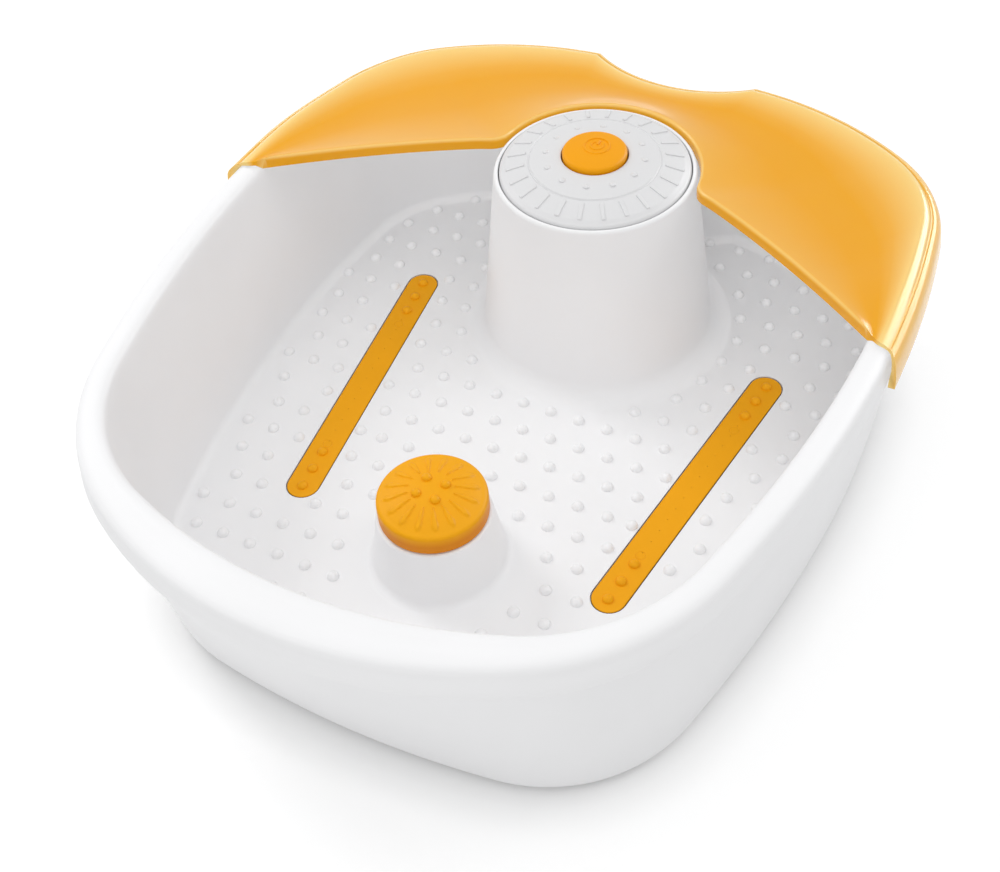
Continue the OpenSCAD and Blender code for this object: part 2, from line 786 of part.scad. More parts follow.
module function_dial() {
    color(white) translate([0, col_y]) difference() {
        union() {
            dial_body();
            intersection() {
                dial_marks();
                rotate_extrude() polygon(concat([[tick_to, dial_z], [dot_at - 2, dial_z]],
                    dome_line(dot_at - 2, tick_to, tick_h)));
            }
        }
        rotate_extrude() translate([ring_at, dome(ring_at)]) circle(r = 0.4);
    }
}

wiper_r = 25;
wiper_low = board_z + 0.2;

module dial_wiper_ring() {
    color(bronze) translate([0, col_y]) {
        translate([0, 0, hub_low + 0.5]) difference() {
            cylinder(r = wiper_r, h = 2);
            translate([0, 0, -1]) cylinder(r = hub_r, h = 4);
        }
        for (a = [0, 180]) rotate(a) translate([wiper_r - 2.5, -1.5, wiper_low])
            cube([1, 3, hub_low + 1 - wiper_low]);
    }
}

seal_at = dial_r - dial_t / 2;
seal_r = 0.45;

module dial_seal() {
    color(dark) translate([0, col_y, col_recess_z + seal_r]) rotate_extrude()
        translate([seal_at, 0]) circle(seal_r);
}

// Button, with its stem in the switch and a spring round the stem
button_z = dome(bore_r) + button_h;
button_low = deck_under + 1;
button_t = 2;
stem_r = 3;
stem_fit = 0.1;
stem_low = carrier_z + 9.5;
switch_z = carrier_z + 12;
symbol_r = 3.3;
symbol_ring_r = 6.4;
symbol_y = 2.5;
symbol_h = 1.1;
button_under = button_z - button_t - 1;

module hoop(r, w) {
    difference() {
        cylinder(r = r, h = symbol_h);
        translate([0, 0, -1]) cylinder(r = r - w, h = symbol_h + 2);
    }
}

module power_button() {
    skirt_r = button_r - button_t;
    color(orange) translate([0, col_y]) {
        rotate_extrude() polygon([
            [0, stem_low], [stem_r, stem_low], [stem_r, button_under], [skirt_r, button_under],
            [skirt_r, button_low], [button_r, button_low], [button_r, button_z - 1.4],
            [button_r - 0.5, button_z - 0.5], [button_r - 1.6, button_z], [button_r / 2, button_z + 0.6],
            [0, button_z + 0.8]
        ]);
        translate([0, symbol_y, button_z]) {
            hoop(symbol_ring_r, 0.5);
            difference() {
                hoop(symbol_r, 0.7);
                translate([-1.2, 0, -1]) cube([2.4, symbol_r + 1, 3]);
            }
            translate([-0.35, 0.4, 0]) cube([0.7, symbol_r, symbol_h]);
        }
    }
}

// Spring as one tube along a helix
spring_r = 6;
wire_r = 0.6;
spring_turns = 5;
spring_low = switch_z + wire_r + 0.1;
spring_high = button_under - wire_r - 0.1;
wire_sides = 6;
turn_rings = 10;

function coil_ring(k) =
    let (a = 360 * k / turn_rings)
    let (z = spring_low + (spring_high - spring_low) * k / (turn_rings * spring_turns))
    [for (j = [0:wire_sides - 1]) let (b = 360 * j / wire_sides, r = spring_r + wire_r * cos(b))
        [r * cos(a), col_y + r * sin(a), z + wire_r * sin(b)]];

module button_spring() {
    color(steel) loft([for (k = [0:turn_rings * spring_turns]) coil_ring(k)]);
}

module power_switch() {
    color(dark) translate([0, col_y, carrier_z]) difference() {
        translate([-9, -9, 0]) cube([18, 18, switch_z - carrier_z]);
        translate([0, 0, 5]) cylinder(r = stem_r + stem_fit, h = switch_z);
    }
}

carrier_t = 2.5;
carrier_low = carrier_z - carrier_t;
arm_r = 5;

module switch_carrier() {
    color(white) difference() {
        union() {
            translate([0, col_y, carrier_low]) cylinder(r = 14, h = carrier_t);
            round_column(carrier_turns, 0) translate([0, -arm_r, carrier_low])
                cube([carrier_post_at, 2 * arm_r, carrier_t]);
            round_column(carrier_turns, carrier_post_at) translate([0, 0, carrier_low])
                cylinder(r = arm_r, h = carrier_t);
        }
        round_column(carrier_turns, carrier_post_at) translate([0, 0, carrier_low - 1])
            cylinder(r = small_screw_r + screw_hole, h = carrier_t + 2);
    }
}

module carrier_screws() {
    color(steel) round_column(carrier_turns, carrier_post_at) translate([0, 0, carrier_low])
        screw(small_screw_r, 9);
}

board_t = 1.6;

module control_board() {
    color(board_green) translate([0, col_y, board_z - board_t]) difference() {
        cylinder(r = 34, h = board_t);
        translate([0, 0, -1]) cylinder(r = 14, h = board_t + 2);
        for (a = board_turns) rotate(a) translate([board_post_at, 0, -1])
            cylinder(r = small_screw_r + screw_hole, h = board_t + 2);
    }
}

module board_screws() {
    color(steel) round_column(board_turns, board_post_at) translate([0, 0, board_z - board_t])
        screw(small_screw_r, 6);
}

// Heater under the tub floor
heater_w = 110;
heater_l = 62;
heater_y = -10;
heater_t = 2;
heater_z = floor_under - 0.2 - heater_t;

module heater_plate() {
    color(heater_grey) translate([-heater_w / 2, heater_y - heater_l / 2, heater_z])
        cube([heater_w, heater_l, heater_t]);
}

module thermostat() {
    color(dark) translate([0, heater_y, heater_z - 7]) {
        cylinder(r = 8, h = 7);
        for (side = [-1, 1]) translate([side * 9 - 4, -2, 5.5]) cube([8, 4, 1.5]);
    }
}

// Mains inlet
house_back = house_ring(0, gland_z);
gland_y = house_back[len(house_back) / 2].y;
gland_bore = 3.6;

module cord_gland() {
    color(dark) translate([0, gland_y, gland_z]) rotate([-90, 0, 0]) difference() {
        union() {
            translate([0, 0, -7]) cylinder(r = gland_r, h = 14);
            translate([0, 0, 1.3]) cylinder(r = gland_r + 2.5, h = 2.5);
            translate([0, 0, -6.5]) cylinder(r = gland_r + 2, h = 2.5);
        }
        translate([0, 0, -8]) cylinder(r = gland_bore, h = 16);
    }
}

module terminal_block() {
    color(dark) translate([-15, col_y + 54, plate_z]) difference() {
        cube([30, 11, 13]);
        for (k = [0:2]) translate([5 + 10 * k, 5.5, 6]) cylinder(r = 2, h = 8);
    }
}

tub();
base_housing();
splash_guard();
massage_pad();
bubble_strip_left();
bubble_strip_right();
air_channel_left();
air_channel_right();
air_hose_left();
air_hose_right();
blower_base();
blower_cover();
blower_screws();
impeller();
motor_can();
motor_magnets();
motor_bearings();
motor_shaft();
motor_rotor();
eccentric_weight();
motor_screws();
power_button();
button_spring();
power_switch();
switch_carrier();
carrier_screws();
function_dial();
dial_wiper_ring();
dial_seal();
control_board();
board_screws();
heater_plate();
thermostat();
terminal_block();
cord_gland();
rubber_feet();
base_screws();
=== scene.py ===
"""Looks of the pedicure foot bath: its mouldings, guard, pad, strips, dial and button in a small studio."""

import json
import math

import bpy
from mathutils import Matrix, Vector


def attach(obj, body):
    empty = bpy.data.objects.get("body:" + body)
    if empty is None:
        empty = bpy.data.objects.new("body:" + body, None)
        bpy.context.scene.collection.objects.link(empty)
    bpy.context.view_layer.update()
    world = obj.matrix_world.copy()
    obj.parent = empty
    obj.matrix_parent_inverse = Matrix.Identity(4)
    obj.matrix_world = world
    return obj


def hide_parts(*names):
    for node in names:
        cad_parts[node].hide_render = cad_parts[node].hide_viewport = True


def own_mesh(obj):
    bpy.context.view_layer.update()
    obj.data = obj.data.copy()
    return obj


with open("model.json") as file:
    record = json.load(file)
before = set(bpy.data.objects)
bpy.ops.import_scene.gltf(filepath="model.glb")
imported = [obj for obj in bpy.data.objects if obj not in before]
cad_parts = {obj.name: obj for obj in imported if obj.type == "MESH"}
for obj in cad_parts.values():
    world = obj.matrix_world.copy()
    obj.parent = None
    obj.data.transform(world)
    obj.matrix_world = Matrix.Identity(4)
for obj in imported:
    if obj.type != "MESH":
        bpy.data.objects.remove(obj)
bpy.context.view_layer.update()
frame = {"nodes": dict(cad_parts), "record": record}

MM = 0.001

# Sizes of the bath, in millimetres
FLOOR_Z = 28.0
RIM_Z = 129.0
WALL = 2.5
COLUMN_Y, COLUMN_Z = 99.0, 130.5
PAD_Y = -82.0
STRIP_X, STRIP_Y, STRIP_TURN = 94.0, 6.0, 6.8
STRIP_L, STRIP_W = 175.0, 17.0

# Outlines from above as arcs from the front centre round to the notch at the back: radius, turn, steps
RIM_FRONT, RIM_NOTCH = -209.5, 15.0
RIM_ARCS = [(203, 29.5, 10), (115, 47, 18), (1200, 1.5, 3), (540, 11.9, 14)]
# The guard covers the rim from the end of these arcs to the notch
GUARD_FIRST = sum(steps for _, _, steps in RIM_ARCS)
RIM_ARCS += [(561.2, 9.68, 14), (76, 46.72, 22), (172, 30, 14)]
BASE_FRONT, BASE_NOTCH = -173.5, 14.0
BASE_ARCS = [(550, 7.5, 10), (80, 69, 18), (840, 2, 3), (718, 8.5, 14)]
BASE_ARCS += [(500, 10.5, 14), (65, 45, 22), (182, 28, 14)]
NOTCH_X, NOTCH_STEPS = 46.0, 14
# The rim drops towards the back: where that starts, over what length and by how much
SINK_START, SINK_LENGTH, SINK = 57.5, 100.0, 7.5


def arc_end(p, a, r, turn):
    return (p[0] + r * (math.sin(a + turn) - math.sin(a)), p[1] + r * (math.cos(a) - math.cos(a + turn)))


def half_outline(arcs, front, deep, inset):
    """Right half of an outline with a notch so deep, moved inwards by inset."""
    p, a = (0.0, front + inset), 0.0
    points = [p]
    for i, (r, turn, steps) in enumerate(arcs):
        r -= inset
        turn = math.radians(turn)
        if i == len(arcs) - 1:
            # The last arc runs on to where the notch starts
            turn = math.pi - math.asin(math.sin(a) + (NOTCH_X - p[0]) / r) - a
        points += [arc_end(p, a, r, turn * k / steps) for k in range(1, steps + 1)]
        p, a = arc_end(p, a, r, turn), a + turn
    r = (p[0] ** 2 + deep**2) / (2 * deep)
    half = math.asin(p[0] / r)
    for k in range(1, NOTCH_STEPS + 1):
        b = half * (1 - k / NOTCH_STEPS)
        points.append((r * math.sin(b), p[1] - deep + r * (1 - math.cos(b))))
    return points


def smooth(t):
    t = min(max(t, 0), 1)
    return t * t * (3 - 2 * t)


def sunk(x, y, z):
    """Drops a point at the back in step with the rim."""
    drop = SINK * smooth((y - SINK_START) / SINK_LENGTH)
    return Vector((x, y, z - drop * max(0, z - FLOOR_Z) / (RIM_Z - FLOOR_Z)))


def half_ring(grow, inset, z):
    """Right half of the wall's outline: grow 0 is the base, 1 the rim."""
    low = half_outline(BASE_ARCS, BASE_FRONT, BASE_NOTCH, inset)
    high = half_outline(RIM_ARCS, RIM_FRONT, RIM_NOTCH, inset)
    return [sunk(a[0] + (b[0] - a[0]) * grow, a[1] + (b[1] - a[1]) * grow, z) for a, b in zip(low, high)]


def mirrored(points):
    return [Vector((-p.x, p.y, p.z)) for p in points]


def whole(half):
    return half + mirrored(half[-2:0:-1])


def ring(grow, inset, z):
    return whole(half_ring(grow, inset, z))


def eased(rows, cuts):
    """Rows with smooth rows set between them: cuts[k] new rows after row k."""
    count = len(rows)
    out = []
    for k in range(count - 1):
        out.append(rows[k])
        before, after = rows[max(k - 1, 0)], rows[min(k + 2, count - 1)]
        for j in range(1, cuts[k] + 1):
            t = j / (cuts[k] + 1)
            t2, t3 = t * t, t * t * t
            line = []
            for p0, p1, p2, p3 in zip(before, rows[k], rows[k + 1], after):
                d = (p2 - p1).length or 1e-9
                d0 = (p1 - p0).length or d
                d2 = (p3 - p2).length or d
                m1 = ((p2 - p1) / d * d0 + (p1 - p0) / d0 * d) / (d0 + d) * d
                m2 = ((p3 - p2) / d2 * d + (p2 - p1) / d * d2) / (d + d2) * d
                leaving = p1 * (2 * t3 - 3 * t2 + 1) + m1 * (t3 - 2 * t2 + t)
                line.append(leaving + p2 * (3 * t2 - 2 * t3) + m2 * (t3 - t2))
            out.append(line)
    out.append(rows[-1])
    return out


def straight(a, b, cuts):
    """Rows set evenly between two rows, the first one included."""
    return [[p + (q - p) * k / (cuts + 1) for p, q in zip(a, b)] for k in range(cuts + 1)]


# Ways of making and joining meshes


def deselect():
    if bpy.context.mode != "OBJECT":
        bpy.ops.object.mode_set(mode="OBJECT")
    bpy.ops.object.select_all(action="DESELECT")


def pick(obj):
    """Leaves one object selected and active."""
    deselect()
    bpy.context.view_layer.objects.active = obj
    obj.select_set(True)


def edit(obj):
    pick(obj)
    bpy.ops.object.mode_set(mode="EDIT")
    bpy.ops.mesh.select_all(action="SELECT")


def added(name):
    """The object added last, with its name."""
    obj = bpy.context.object
    obj.name = obj.data.name = name
    return obj


def closed_up(obj):
    """Merges seams and poles, fills open ends and turns the faces outwards."""
    edit(obj)
    bpy.ops.mesh.remove_doubles(threshold=1e-6)
    bpy.ops.mesh.dissolve_degenerate(threshold=1e-7)
    bpy.ops.mesh.select_all(action="SELECT")
    bpy.ops.mesh.fill_holes(sides=0)
    bpy.ops.mesh.select_all(action="SELECT")
    bpy.ops.mesh.normals_make_consistent(inside=False)
    bpy.ops.object.mode_set(mode="OBJECT")
    return obj


def laid(name, rows, painted_light=None):
    """A grid laid on rows of points given in millimetres, closed round each row, with its ends filled.

    A share of painted light (painted paleness and painted highlight) for each place in a row is kept with the
    points as an attribute named like the argument.
    """
    deselect()
    around, along = len(rows[0]), len(rows) - 1
    bpy.ops.mesh.primitive_grid_add(x_subdivisions=around, y_subdivisions=along, size=1)
    obj = added(name)
    kept = obj.data.attributes.new("painted_light", "FLOAT", "POINT").data if painted_light else None
    for v in obj.data.vertices:
        i = round((v.co.x + 0.5) * around) % around
        j = round((v.co.y + 0.5) * along)
        v.co = rows[j][i] * MM
        if painted_light:
            kept[v.index].value = painted_light[i]
    return closed_up(obj)


def turned(name, profile, y, steps=128):
    """A profile of radius and height in millimetres, spun about an upright axis at y."""
    deselect()
    bpy.ops.mesh.primitive_circle_add(vertices=len(profile), radius=1)
    obj = added(name)
    for v, (r, z) in zip(obj.data.vertices, profile):
        v.co = (r * MM, y * MM, z * MM)
    edit(obj)
    bpy.ops.mesh.spin(steps=steps, angle=2 * math.pi, center=(0, y * MM, 0), axis=(0, 0, 1))
    return closed_up(obj)


def bend(centre, r, a, b, n):
    """Points of an arc about a centre, from a to b in degrees."""
    points = []
    for k in range(n + 1):
        turn = math.radians(a + (b - a) * k / n)
        points.append((centre[0] + r * math.cos(turn), centre[1] + r * math.sin(turn)))
    return points


def wire_ring(r, a, y, z, thick, steps, flat=1.0):
    """Points round a wire that runs about an upright axis at y, where it has turned by a."""
    line = []
    for j in range(steps):
        b = 2 * math.pi * j / steps
        reach = r + thick * math.cos(b)
        line.append(Vector((reach * math.cos(a), y + reach * math.sin(a), z + flat * thick * math.sin(b))))
    return line


def dome_mesh(r, high, low=0.4, segments=16):
    """A low dome on the origin, with a flat underside a little below it."""
    deselect()
    bpy.ops.mesh.primitive_uv_sphere_add(segments=segments, ring_count=10, radius=r * MM)
    dome = added("dome")
    edit(dome)
    bpy.ops.transform.resize(value=(1, 1, high / r))
    bpy.ops.mesh.bisect(plane_co=(0, 0, -low * MM), plane_no=(0, 0, 1), clear_inner=True, use_fill=True)
    bpy.ops.object.mode_set(mode="OBJECT")
    return dome


def copies(piece, places):
    """Copies of a piece, each with its own mesh, at places in millimetres; the piece itself goes."""
    made = []
    for place in places:
        one = piece.copy()
        one.data = piece.data.copy()
        one.data.transform(Matrix.Translation(Vector(place) * MM))
        bpy.context.scene.collection.objects.link(one)
        made.append(one)
    bpy.data.objects.remove(piece)
    return made


def apply(obj, kind, **settings):
    """Adds a modifier with its settings and applies it."""
    pick(obj)
    mod = obj.modifiers.new(kind.lower(), kind)
    for key, value in settings.items():
        setattr(mod, key, value)
    bpy.ops.object.modifier_apply(modifier=mod.name)
    return obj


def cut(obj, tool, operation="DIFFERENCE"):
    apply(obj, "BOOLEAN", operation=operation, solver="EXACT", object=tool)
    bpy.data.objects.remove(tool)
    return obj


def joined(name, pieces):
    deselect()
    for p in pieces:
        p.select_set(True)
    bpy.context.view_layer.objects.active = pieces[0]
    bpy.ops.object.join()
    pieces[0].name = pieces[0].data.name = name
    return pieces[0]


def rounded(obj, angle):
    """Smooth shading with flat faces kept flat."""
    pick(obj)
    bpy.ops.object.shade_smooth_by_angle(angle=math.radians(angle))
    return apply(obj, "WEIGHTED_NORMAL", keep_sharp=True, weight=50)


# Materials


def colour(text):
    """An sRGB hex colour as linear values."""
    parts = [int(text[i : i + 2], 16) / 255 for i in (1, 3, 5)]
    return [c / 12.92 if c <= 0.04045 else ((c + 0.055) / 1.055) ** 2.4 for c in parts] + [1.0]


def add(tree, kind, links=(), **settings):
    """Adds a node: settings are its properties or input values, links join (output, input)."""
    node = tree.nodes.new(kind)
    for key, value in settings.items():
        if hasattr(node, key):
            setattr(node, key, value)
        else:
            node.inputs[key.replace("_", " ")].default_value = value
    for source, target in links:
        tree.links.new(source, node.inputs[target])
    return node


def blank(name):
    made = bpy.data.materials.new(name)
    made.use_nodes = True
    made.node_tree.nodes.clear()
    return made, made.node_tree


def per_metre(size_mm):
    """Scale of a pattern whose grains have this size."""
    return 1000 / size_mm


def moulded(name, base, rough, grain_mm=1.2, bump=0.02, mottle=0.02, shade=None, **extra):
    """Injection-moulded plastic: an even colour, a faint cloudiness and the fine skin of the mould.

    A shade is a painted shade: a darker colour, with the heights in millimetres between which it gives way to
    the base.
    """
    made, tree = blank(name)
    at = add(tree, "ShaderNodeTexCoord").outputs["Object"]
    cloud = add(tree, "ShaderNodeTexNoise", [(at, "Vector")], Scale=per_metre(60), Detail=2.0)
    ramp = add(tree, "ShaderNodeValToRGB", [(cloud.outputs["Fac"], "Fac")])
    clear, cloudy = ramp.color_ramp.elements
    clear.position, clear.color = 0.35, colour(base)
    cloudy.position, cloudy.color = 0.7, [c * (1 - mottle) for c in colour(base)[:3]] + [1]
    tinted = ramp.outputs["Color"]
    # Painted shade: below the given heights the colour turns darker, where shade would fall
    if shade:
        deep, low, high = shade
        level = add(tree, "ShaderNodeSeparateXYZ", [(at, "Vector")]).outputs["Z"]
        share = add(tree, "ShaderNodeMapRange", [(level, "Value")], From_Min=low * MM, From_Max=high * MM)
        both = add(tree, "ShaderNodeMix", [(share.outputs["Result"], 0), (tinted, 7)], data_type="RGBA")
        both.inputs[6].default_value = colour(deep)
        tinted = both.outputs[2]
    skin = add(tree, "ShaderNodeTexNoise", [(at, "Vector")], Scale=per_metre(grain_mm), Detail=3.0)
    grain = skin.outputs["Fac"]
    gloss = add(tree, "ShaderNodeMapRange", [(grain, "Value")], To_Min=rough - 0.04, To_Max=rough + 0.04)
    height = add(tree, "ShaderNodeBump", [(grain, "Height")], Strength=bump, Distance=0.0002)
    shader = add(
        tree,
        "ShaderNodeBsdfPrincipled",
        [
            (tinted, "Base Color"),
            (gloss.outputs["Result"], "Roughness"),
            (height.outputs["Normal"], "Normal"),
        ],
        IOR=1.53,
        **extra,
    )
    add(tree, "ShaderNodeOutputMaterial", [(shader.outputs["BSDF"], "Surface")])
    return made


def clouded_amber(name, deep, painted_pale, rough):
    """Clear acrylic tinted amber that lets some light through, with painted light: painted paleness along
    edges and where it lies on white, and painted highlights.
    """
    made, tree = blank(name)
    at = add(tree, "ShaderNodeTexCoord").outputs["Object"]
    # Painted light: a share kept on the guard's points turns the amber to a painted paler colour and painted
    # highlights
    painted_light = add(tree, "ShaderNodeAttribute", attribute_name="painted_light").outputs["Fac"]
    cloud = add(tree, "ShaderNodeTexNoise", [(at, "Vector")], Scale=per_metre(45), Detail=3.0)
    drift = add(tree, "ShaderNodeMapRange", [(cloud.outputs["Fac"], "Value")], To_Min=-0.03, To_Max=0.03)
    share = add(tree, "ShaderNodeMath", [(painted_light, 0), (drift.outputs["Result"], 1)], operation="ADD")
    ramp = add(tree, "ShaderNodeValToRGB", [(share.outputs[0], "Fac")])
    ramp.color_ramp.elements[0].color, ramp.color_ramp.elements[1].color = colour(deep), colour(painted_pale)
    skin = add(tree, "ShaderNodeTexNoise", [(at, "Vector")], Scale=per_metre(3.0), Detail=2.0)
    gloss = add(
        tree,
        "ShaderNodeMapRange",
        [(skin.outputs["Fac"], "Value")],
        To_Min=rough - 0.03,
        To_Max=rough + 0.03,
    )
    shader = add(
        tree,
        "ShaderNodeBsdfPrincipled",
        [(ramp.outputs["Color"], "Base Color"), (gloss.outputs["Result"], "Roughness")],
        IOR=1.49,
        Specular_IOR_Level=0.22,
        Transmission_Weight=0.1,
        Subsurface_Weight=0.2,
        Subsurface_Radius=(1.0, 1.0, 1.0),
        Subsurface_Scale=0.002,
    )
    add(tree, "ShaderNodeOutputMaterial", [(shader.outputs["BSDF"], "Surface")])
    return made


def metal(name, base, rough, grain_mm=0.4):
    """Bare or plated metal: drawn lines break up the gloss."""
    made, tree = blank(name)
    at = add(tree, "ShaderNodeTexCoord").outputs["Object"]
    lines = add(tree, "ShaderNodeMapping", [(at, "Vector")])
    lines.inputs["Scale"].default_value = (per_metre(grain_mm), per_metre(grain_mm), 60)
    noise = add(tree, "ShaderNodeTexNoise", [(lines.outputs["Vector"], "Vector")], Scale=1.0, Detail=2.0)
    gloss = add(
        tree,
        "ShaderNodeMapRange",
        [(noise.outputs["Fac"], "Value")],
        To_Min=rough - 0.1,
        To_Max=rough + 0.1,
    )
    shader = add(tree, "ShaderNodeBsdfPrincipled", [(gloss.outputs["Result"], "Roughness")], Metallic=1.0)
    shader.inputs["Base Color"].default_value = colour(base)
    add(tree, "ShaderNodeOutputMaterial", [(shader.outputs["BSDF"], "Surface")])
    return made


FINISH = {
    "white_abs": moulded("white_abs_moulded", "#F4F4F5", 0.46, Specular_IOR_Level=0.22),
    "orange_abs": moulded("orange_abs_moulded", "#F2A200", 0.46, mottle=0.05, Specular_IOR_Level=0.15),
    # The amber's second colour is painted light: its painted paleness and highlights
    "amber_clear": clouded_amber("amber_acrylic_painted_light", "#F0A909", "#FFE296", 0.14),
    "grey_hose": moulded("grey_vinyl_hose", "#8A8D90", 0.55),
    "grey_abs": moulded("grey_abs_moulded", "#8A8D90", 0.5),
    "steel": metal("zinc_plated_steel", "#C4C7CA", 0.35),
    "ferrite": moulded("ferrite_sintered", "#3A3A3C", 0.7, bump=0.1),
    "bronze": metal("sintered_bronze", "#B58A3C", 0.45),
    "copper_winding": metal("copper_winding", "#9A5A33", 0.4),
    "black_plastic": moulded("black_plastic_moulded", "#2B2C2E", 0.45),
    "black_rubber": moulded("black_rubber_moulded", "#242526", 0.75, bump=0.06),
    "board": moulded("circuit_board_lacquer", "#2F6B45", 0.35),
    "aluminium": metal("rolled_aluminium", "#B9BDC2", 0.38),
}
dial_white = moulded("dial_abs_satin", "#DCDCDD", 0.46, Specular_IOR_Level=0.35)
# Painted shade: the strips are painted brown in the gap round them, and the pad darker down its side
strip_orange = moulded(
    "strip_abs_painted_shade_edge",
    "#F5A90A",
    0.46,
    mottle=0.05,
    shade=("#5A3200", 27.4, 27.9),
    Specular_IOR_Level=0.15,
)
pad_orange = moulded(
    "pad_abs_painted_shade_side",
    "#F4AA06",
    0.46,
    mottle=0.05,
    shade=("#DC8400", 65, 70.8),
    Specular_IOR_Level=0.15,
)


def dressed(obj, finish, body, *nodes, look=None):
    """Gives a piece its finish or own look, its body and the CAD nodes that it stands for."""
    obj.data.materials.clear()
    obj.data.materials.append(look or FINISH[finish])
    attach(obj, body)
    if nodes:
        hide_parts(*nodes)
    return obj


for part in frame["record"]["subparts"]:
    node = frame["nodes"][part["node"]]
    node.data.materials.clear()
    node.data.materials.append(FINISH[part["material_slot"]])
    pick(node)
    bpy.ops.object.shade_smooth_by_angle(angle=math.radians(30))

# Tub: inside wall, rim and lip as one lofted shell, with the column and the pedestal

RIM_IN = 0.515
# Sections of the shell: inset from the outline, height over the floor or the rim
FLOOR_EDGE = [(9.4, 0), (7.6, 0.3), (6, 1.1), (4.7, 2.5), (4, 4.6)]
TUB_EDGE = [(7.1, -8), (6.7, -4.5), (5.8, -2), (4.2, -0.5)]
RIM_ROLL = [(4.4, -0.5), (2.1, -2), (1.2, -4.2), (1.1, -7)]
RIM_LIP = [(0.45, -10.5), (0, -14), (0.4, -17.5), (1.3, -20), (2.6, -21.4), (4.6, -22.2)]
LIP_INSIDE = [(5.2, -22.5), (4.2, -12), (4.2, -9)]
WALL_UNDER = (4.6, -9.5)
FLOOR_UNDER = [(1.5, 1), (2.4, -1.5), (4.5, -WALL)]
# Rows set between: down the wall, which stays straight at its foot, and between the rows of the rim
WALL_CUTS, STRAIGHT_ROWS, RIM_CUTS = 5, 4, 2
# Column: reach and round of its foot, the floor's opening under it, and its top as radius and height
COLUMN_FOOT, COLUMN_ROUND, COLUMN_HOLE = 73.5, 12.0, 73.0
COLUMN_EDGE = [(51.3, -2), (51.15, -1.2), (50.75, -0.5), (50.2, -0.1), (49.9, 0), (49.3, 0), (49, -0.3)]
COLUMN_WELL = [(49, -4.5), (19.05, -4.5), (19.05, -9.5), (22, -9.5), (22, -7.5), (48.8, -7.5)]
# Pedestal: the same, with its spigot
PEDESTAL_FOOT, PEDESTAL_ROUND, PEDESTAL_HOLE = 36.2, 4.0, 35.7
PEDESTAL_EDGE = [(27.6, 58.5), (27.4, 59.3), (26.9, 59.8), (26.1, 60)]
SPIGOT = [(9, 60), (9, 66), (8, 67), (0, 67)]
SPIGOT_INSIDE = [(0, 64.5), (6.5, 64.5), (6.5, 57.5), (25.1, 57.5)]
# Pockets of the strips: room all round added to the strip, depth
POCKET_ROOM, POCKET_DEEP = 1.0, 1.9


def crest(z):
    """Right half of the rim's top, midway between the tub's edge and the roll."""
    a, b = half_ring(RIM_IN, TUB_EDGE[-1][0], z), half_ring(1, RIM_ROLL[0][0], z)
    return [(p + q) / 2 for p, q in zip(a, b)]


def on_strip(side, across, along, z):
    """A place on the strip of one side, with x and y put on the floor."""
    turn = Matrix.Rotation(-side * math.radians(STRIP_TURN), 3, "Z")
    return turn @ Vector((across, along, 0)) + Vector((side * STRIP_X, STRIP_Y, z))


def slot_line(side, length, width, z, n=14):
    """Outline of a strip with round ends, in its place on the floor."""
    points = []
    for end, start in ((1, 0), (-1, 180)):
        for k in range(n + 1):
            a = math.radians(start + 180 * k / n)
            along = end * (length - width) / 2 + width / 2 * math.sin(a)
            points.append(on_strip(side, width / 2 * math.cos(a), along, z))
    return points


def make_shell():
    floor = [ring(0, i, FLOOR_Z + h) for i, h in FLOOR_EDGE]
    edge = [ring(RIM_IN, i, RIM_Z + h) for i, h in TUB_EDGE]
    roll = [ring(1, i, RIM_Z + h) for i, h in RIM_ROLL + RIM_LIP]
    wall = straight(floor[-1], edge[0], WALL_CUTS)
    top = wall[1:] + edge + [whole(crest(RIM_Z))] + roll
    shown = eased(top, [0] * STRAIGHT_ROWS + [RIM_CUTS] * (len(top) - 1 - STRAIGHT_ROWS))
    inside = [ring(1, i, RIM_Z + h) for i, h in LIP_INSIDE]
    under = [ring(RIM_IN, WALL_UNDER[0], RIM_Z + WALL_UNDER[1])]
    under += [ring(0, i, FLOOR_Z + h) for i, h in FLOOR_UNDER]
    return laid("tub_shell", floor + shown + inside + under)


def make_tub():
    shell = make_shell()
    low, high = FLOOR_Z - 8, FLOOR_Z + 4
    for y, r in ((COLUMN_Y, COLUMN_HOLE), (PAD_Y, PEDESTAL_HOLE)):
        cut(shell, turned("hole", [(0, low), (r, low), (r, high), (0, high)], y))
    foot = (COLUMN_FOOT, FLOOR_Z + COLUMN_ROUND)
    column = bend(foot, COLUMN_ROUND, 270, 180, 16)
    column += [(r, COLUMN_Z + h) for r, h in COLUMN_EDGE + COLUMN_WELL]
    column += bend(foot, COLUMN_ROUND + WALL, 180, 270, 16)
    cut(shell, turned("column", column, COLUMN_Y), "UNION")
    foot = (PEDESTAL_FOOT, FLOOR_Z + PEDESTAL_ROUND)
    pedestal = bend(foot, PEDESTAL_ROUND, 270, 180, 10) + PEDESTAL_EDGE + SPIGOT + SPIGOT_INSIDE
    pedestal += bend(foot, PEDESTAL_ROUND + WALL, 180, 270, 10)
    cut(shell, turned("pedestal", pedestal, PAD_Y), "UNION")
    for side in (-1, 1):
        size = (STRIP_L + POCKET_ROOM, STRIP_W + POCKET_ROOM)
        levels = (FLOOR_Z - POCKET_DEEP, FLOOR_Z + 3)
        cut(shell, laid("pocket", [slot_line(side, *size, z) for z in levels]))
    return rounded(shell, 32)


# Floor bumps: rows of small domes, staggered, left out under the strips, the column and the pedestal

BUMP_R, BUMP_H = 3.1, 2.7
BUMP_PITCH, ROW_PITCH, BACK_PITCH, ROW_FIRST = 16.0, 17.43, 17.6, 23.5
ROWS, PLACES = range(-10, 10), range(-11, 12)
# This row beside the column isn't staggered
EVEN_ROW = 2
# Places beside the strips that differ from the grid: row, place in the grid, place used
NUDGED = {-3: {80: 76.9}, -2: {120: 108.2}}
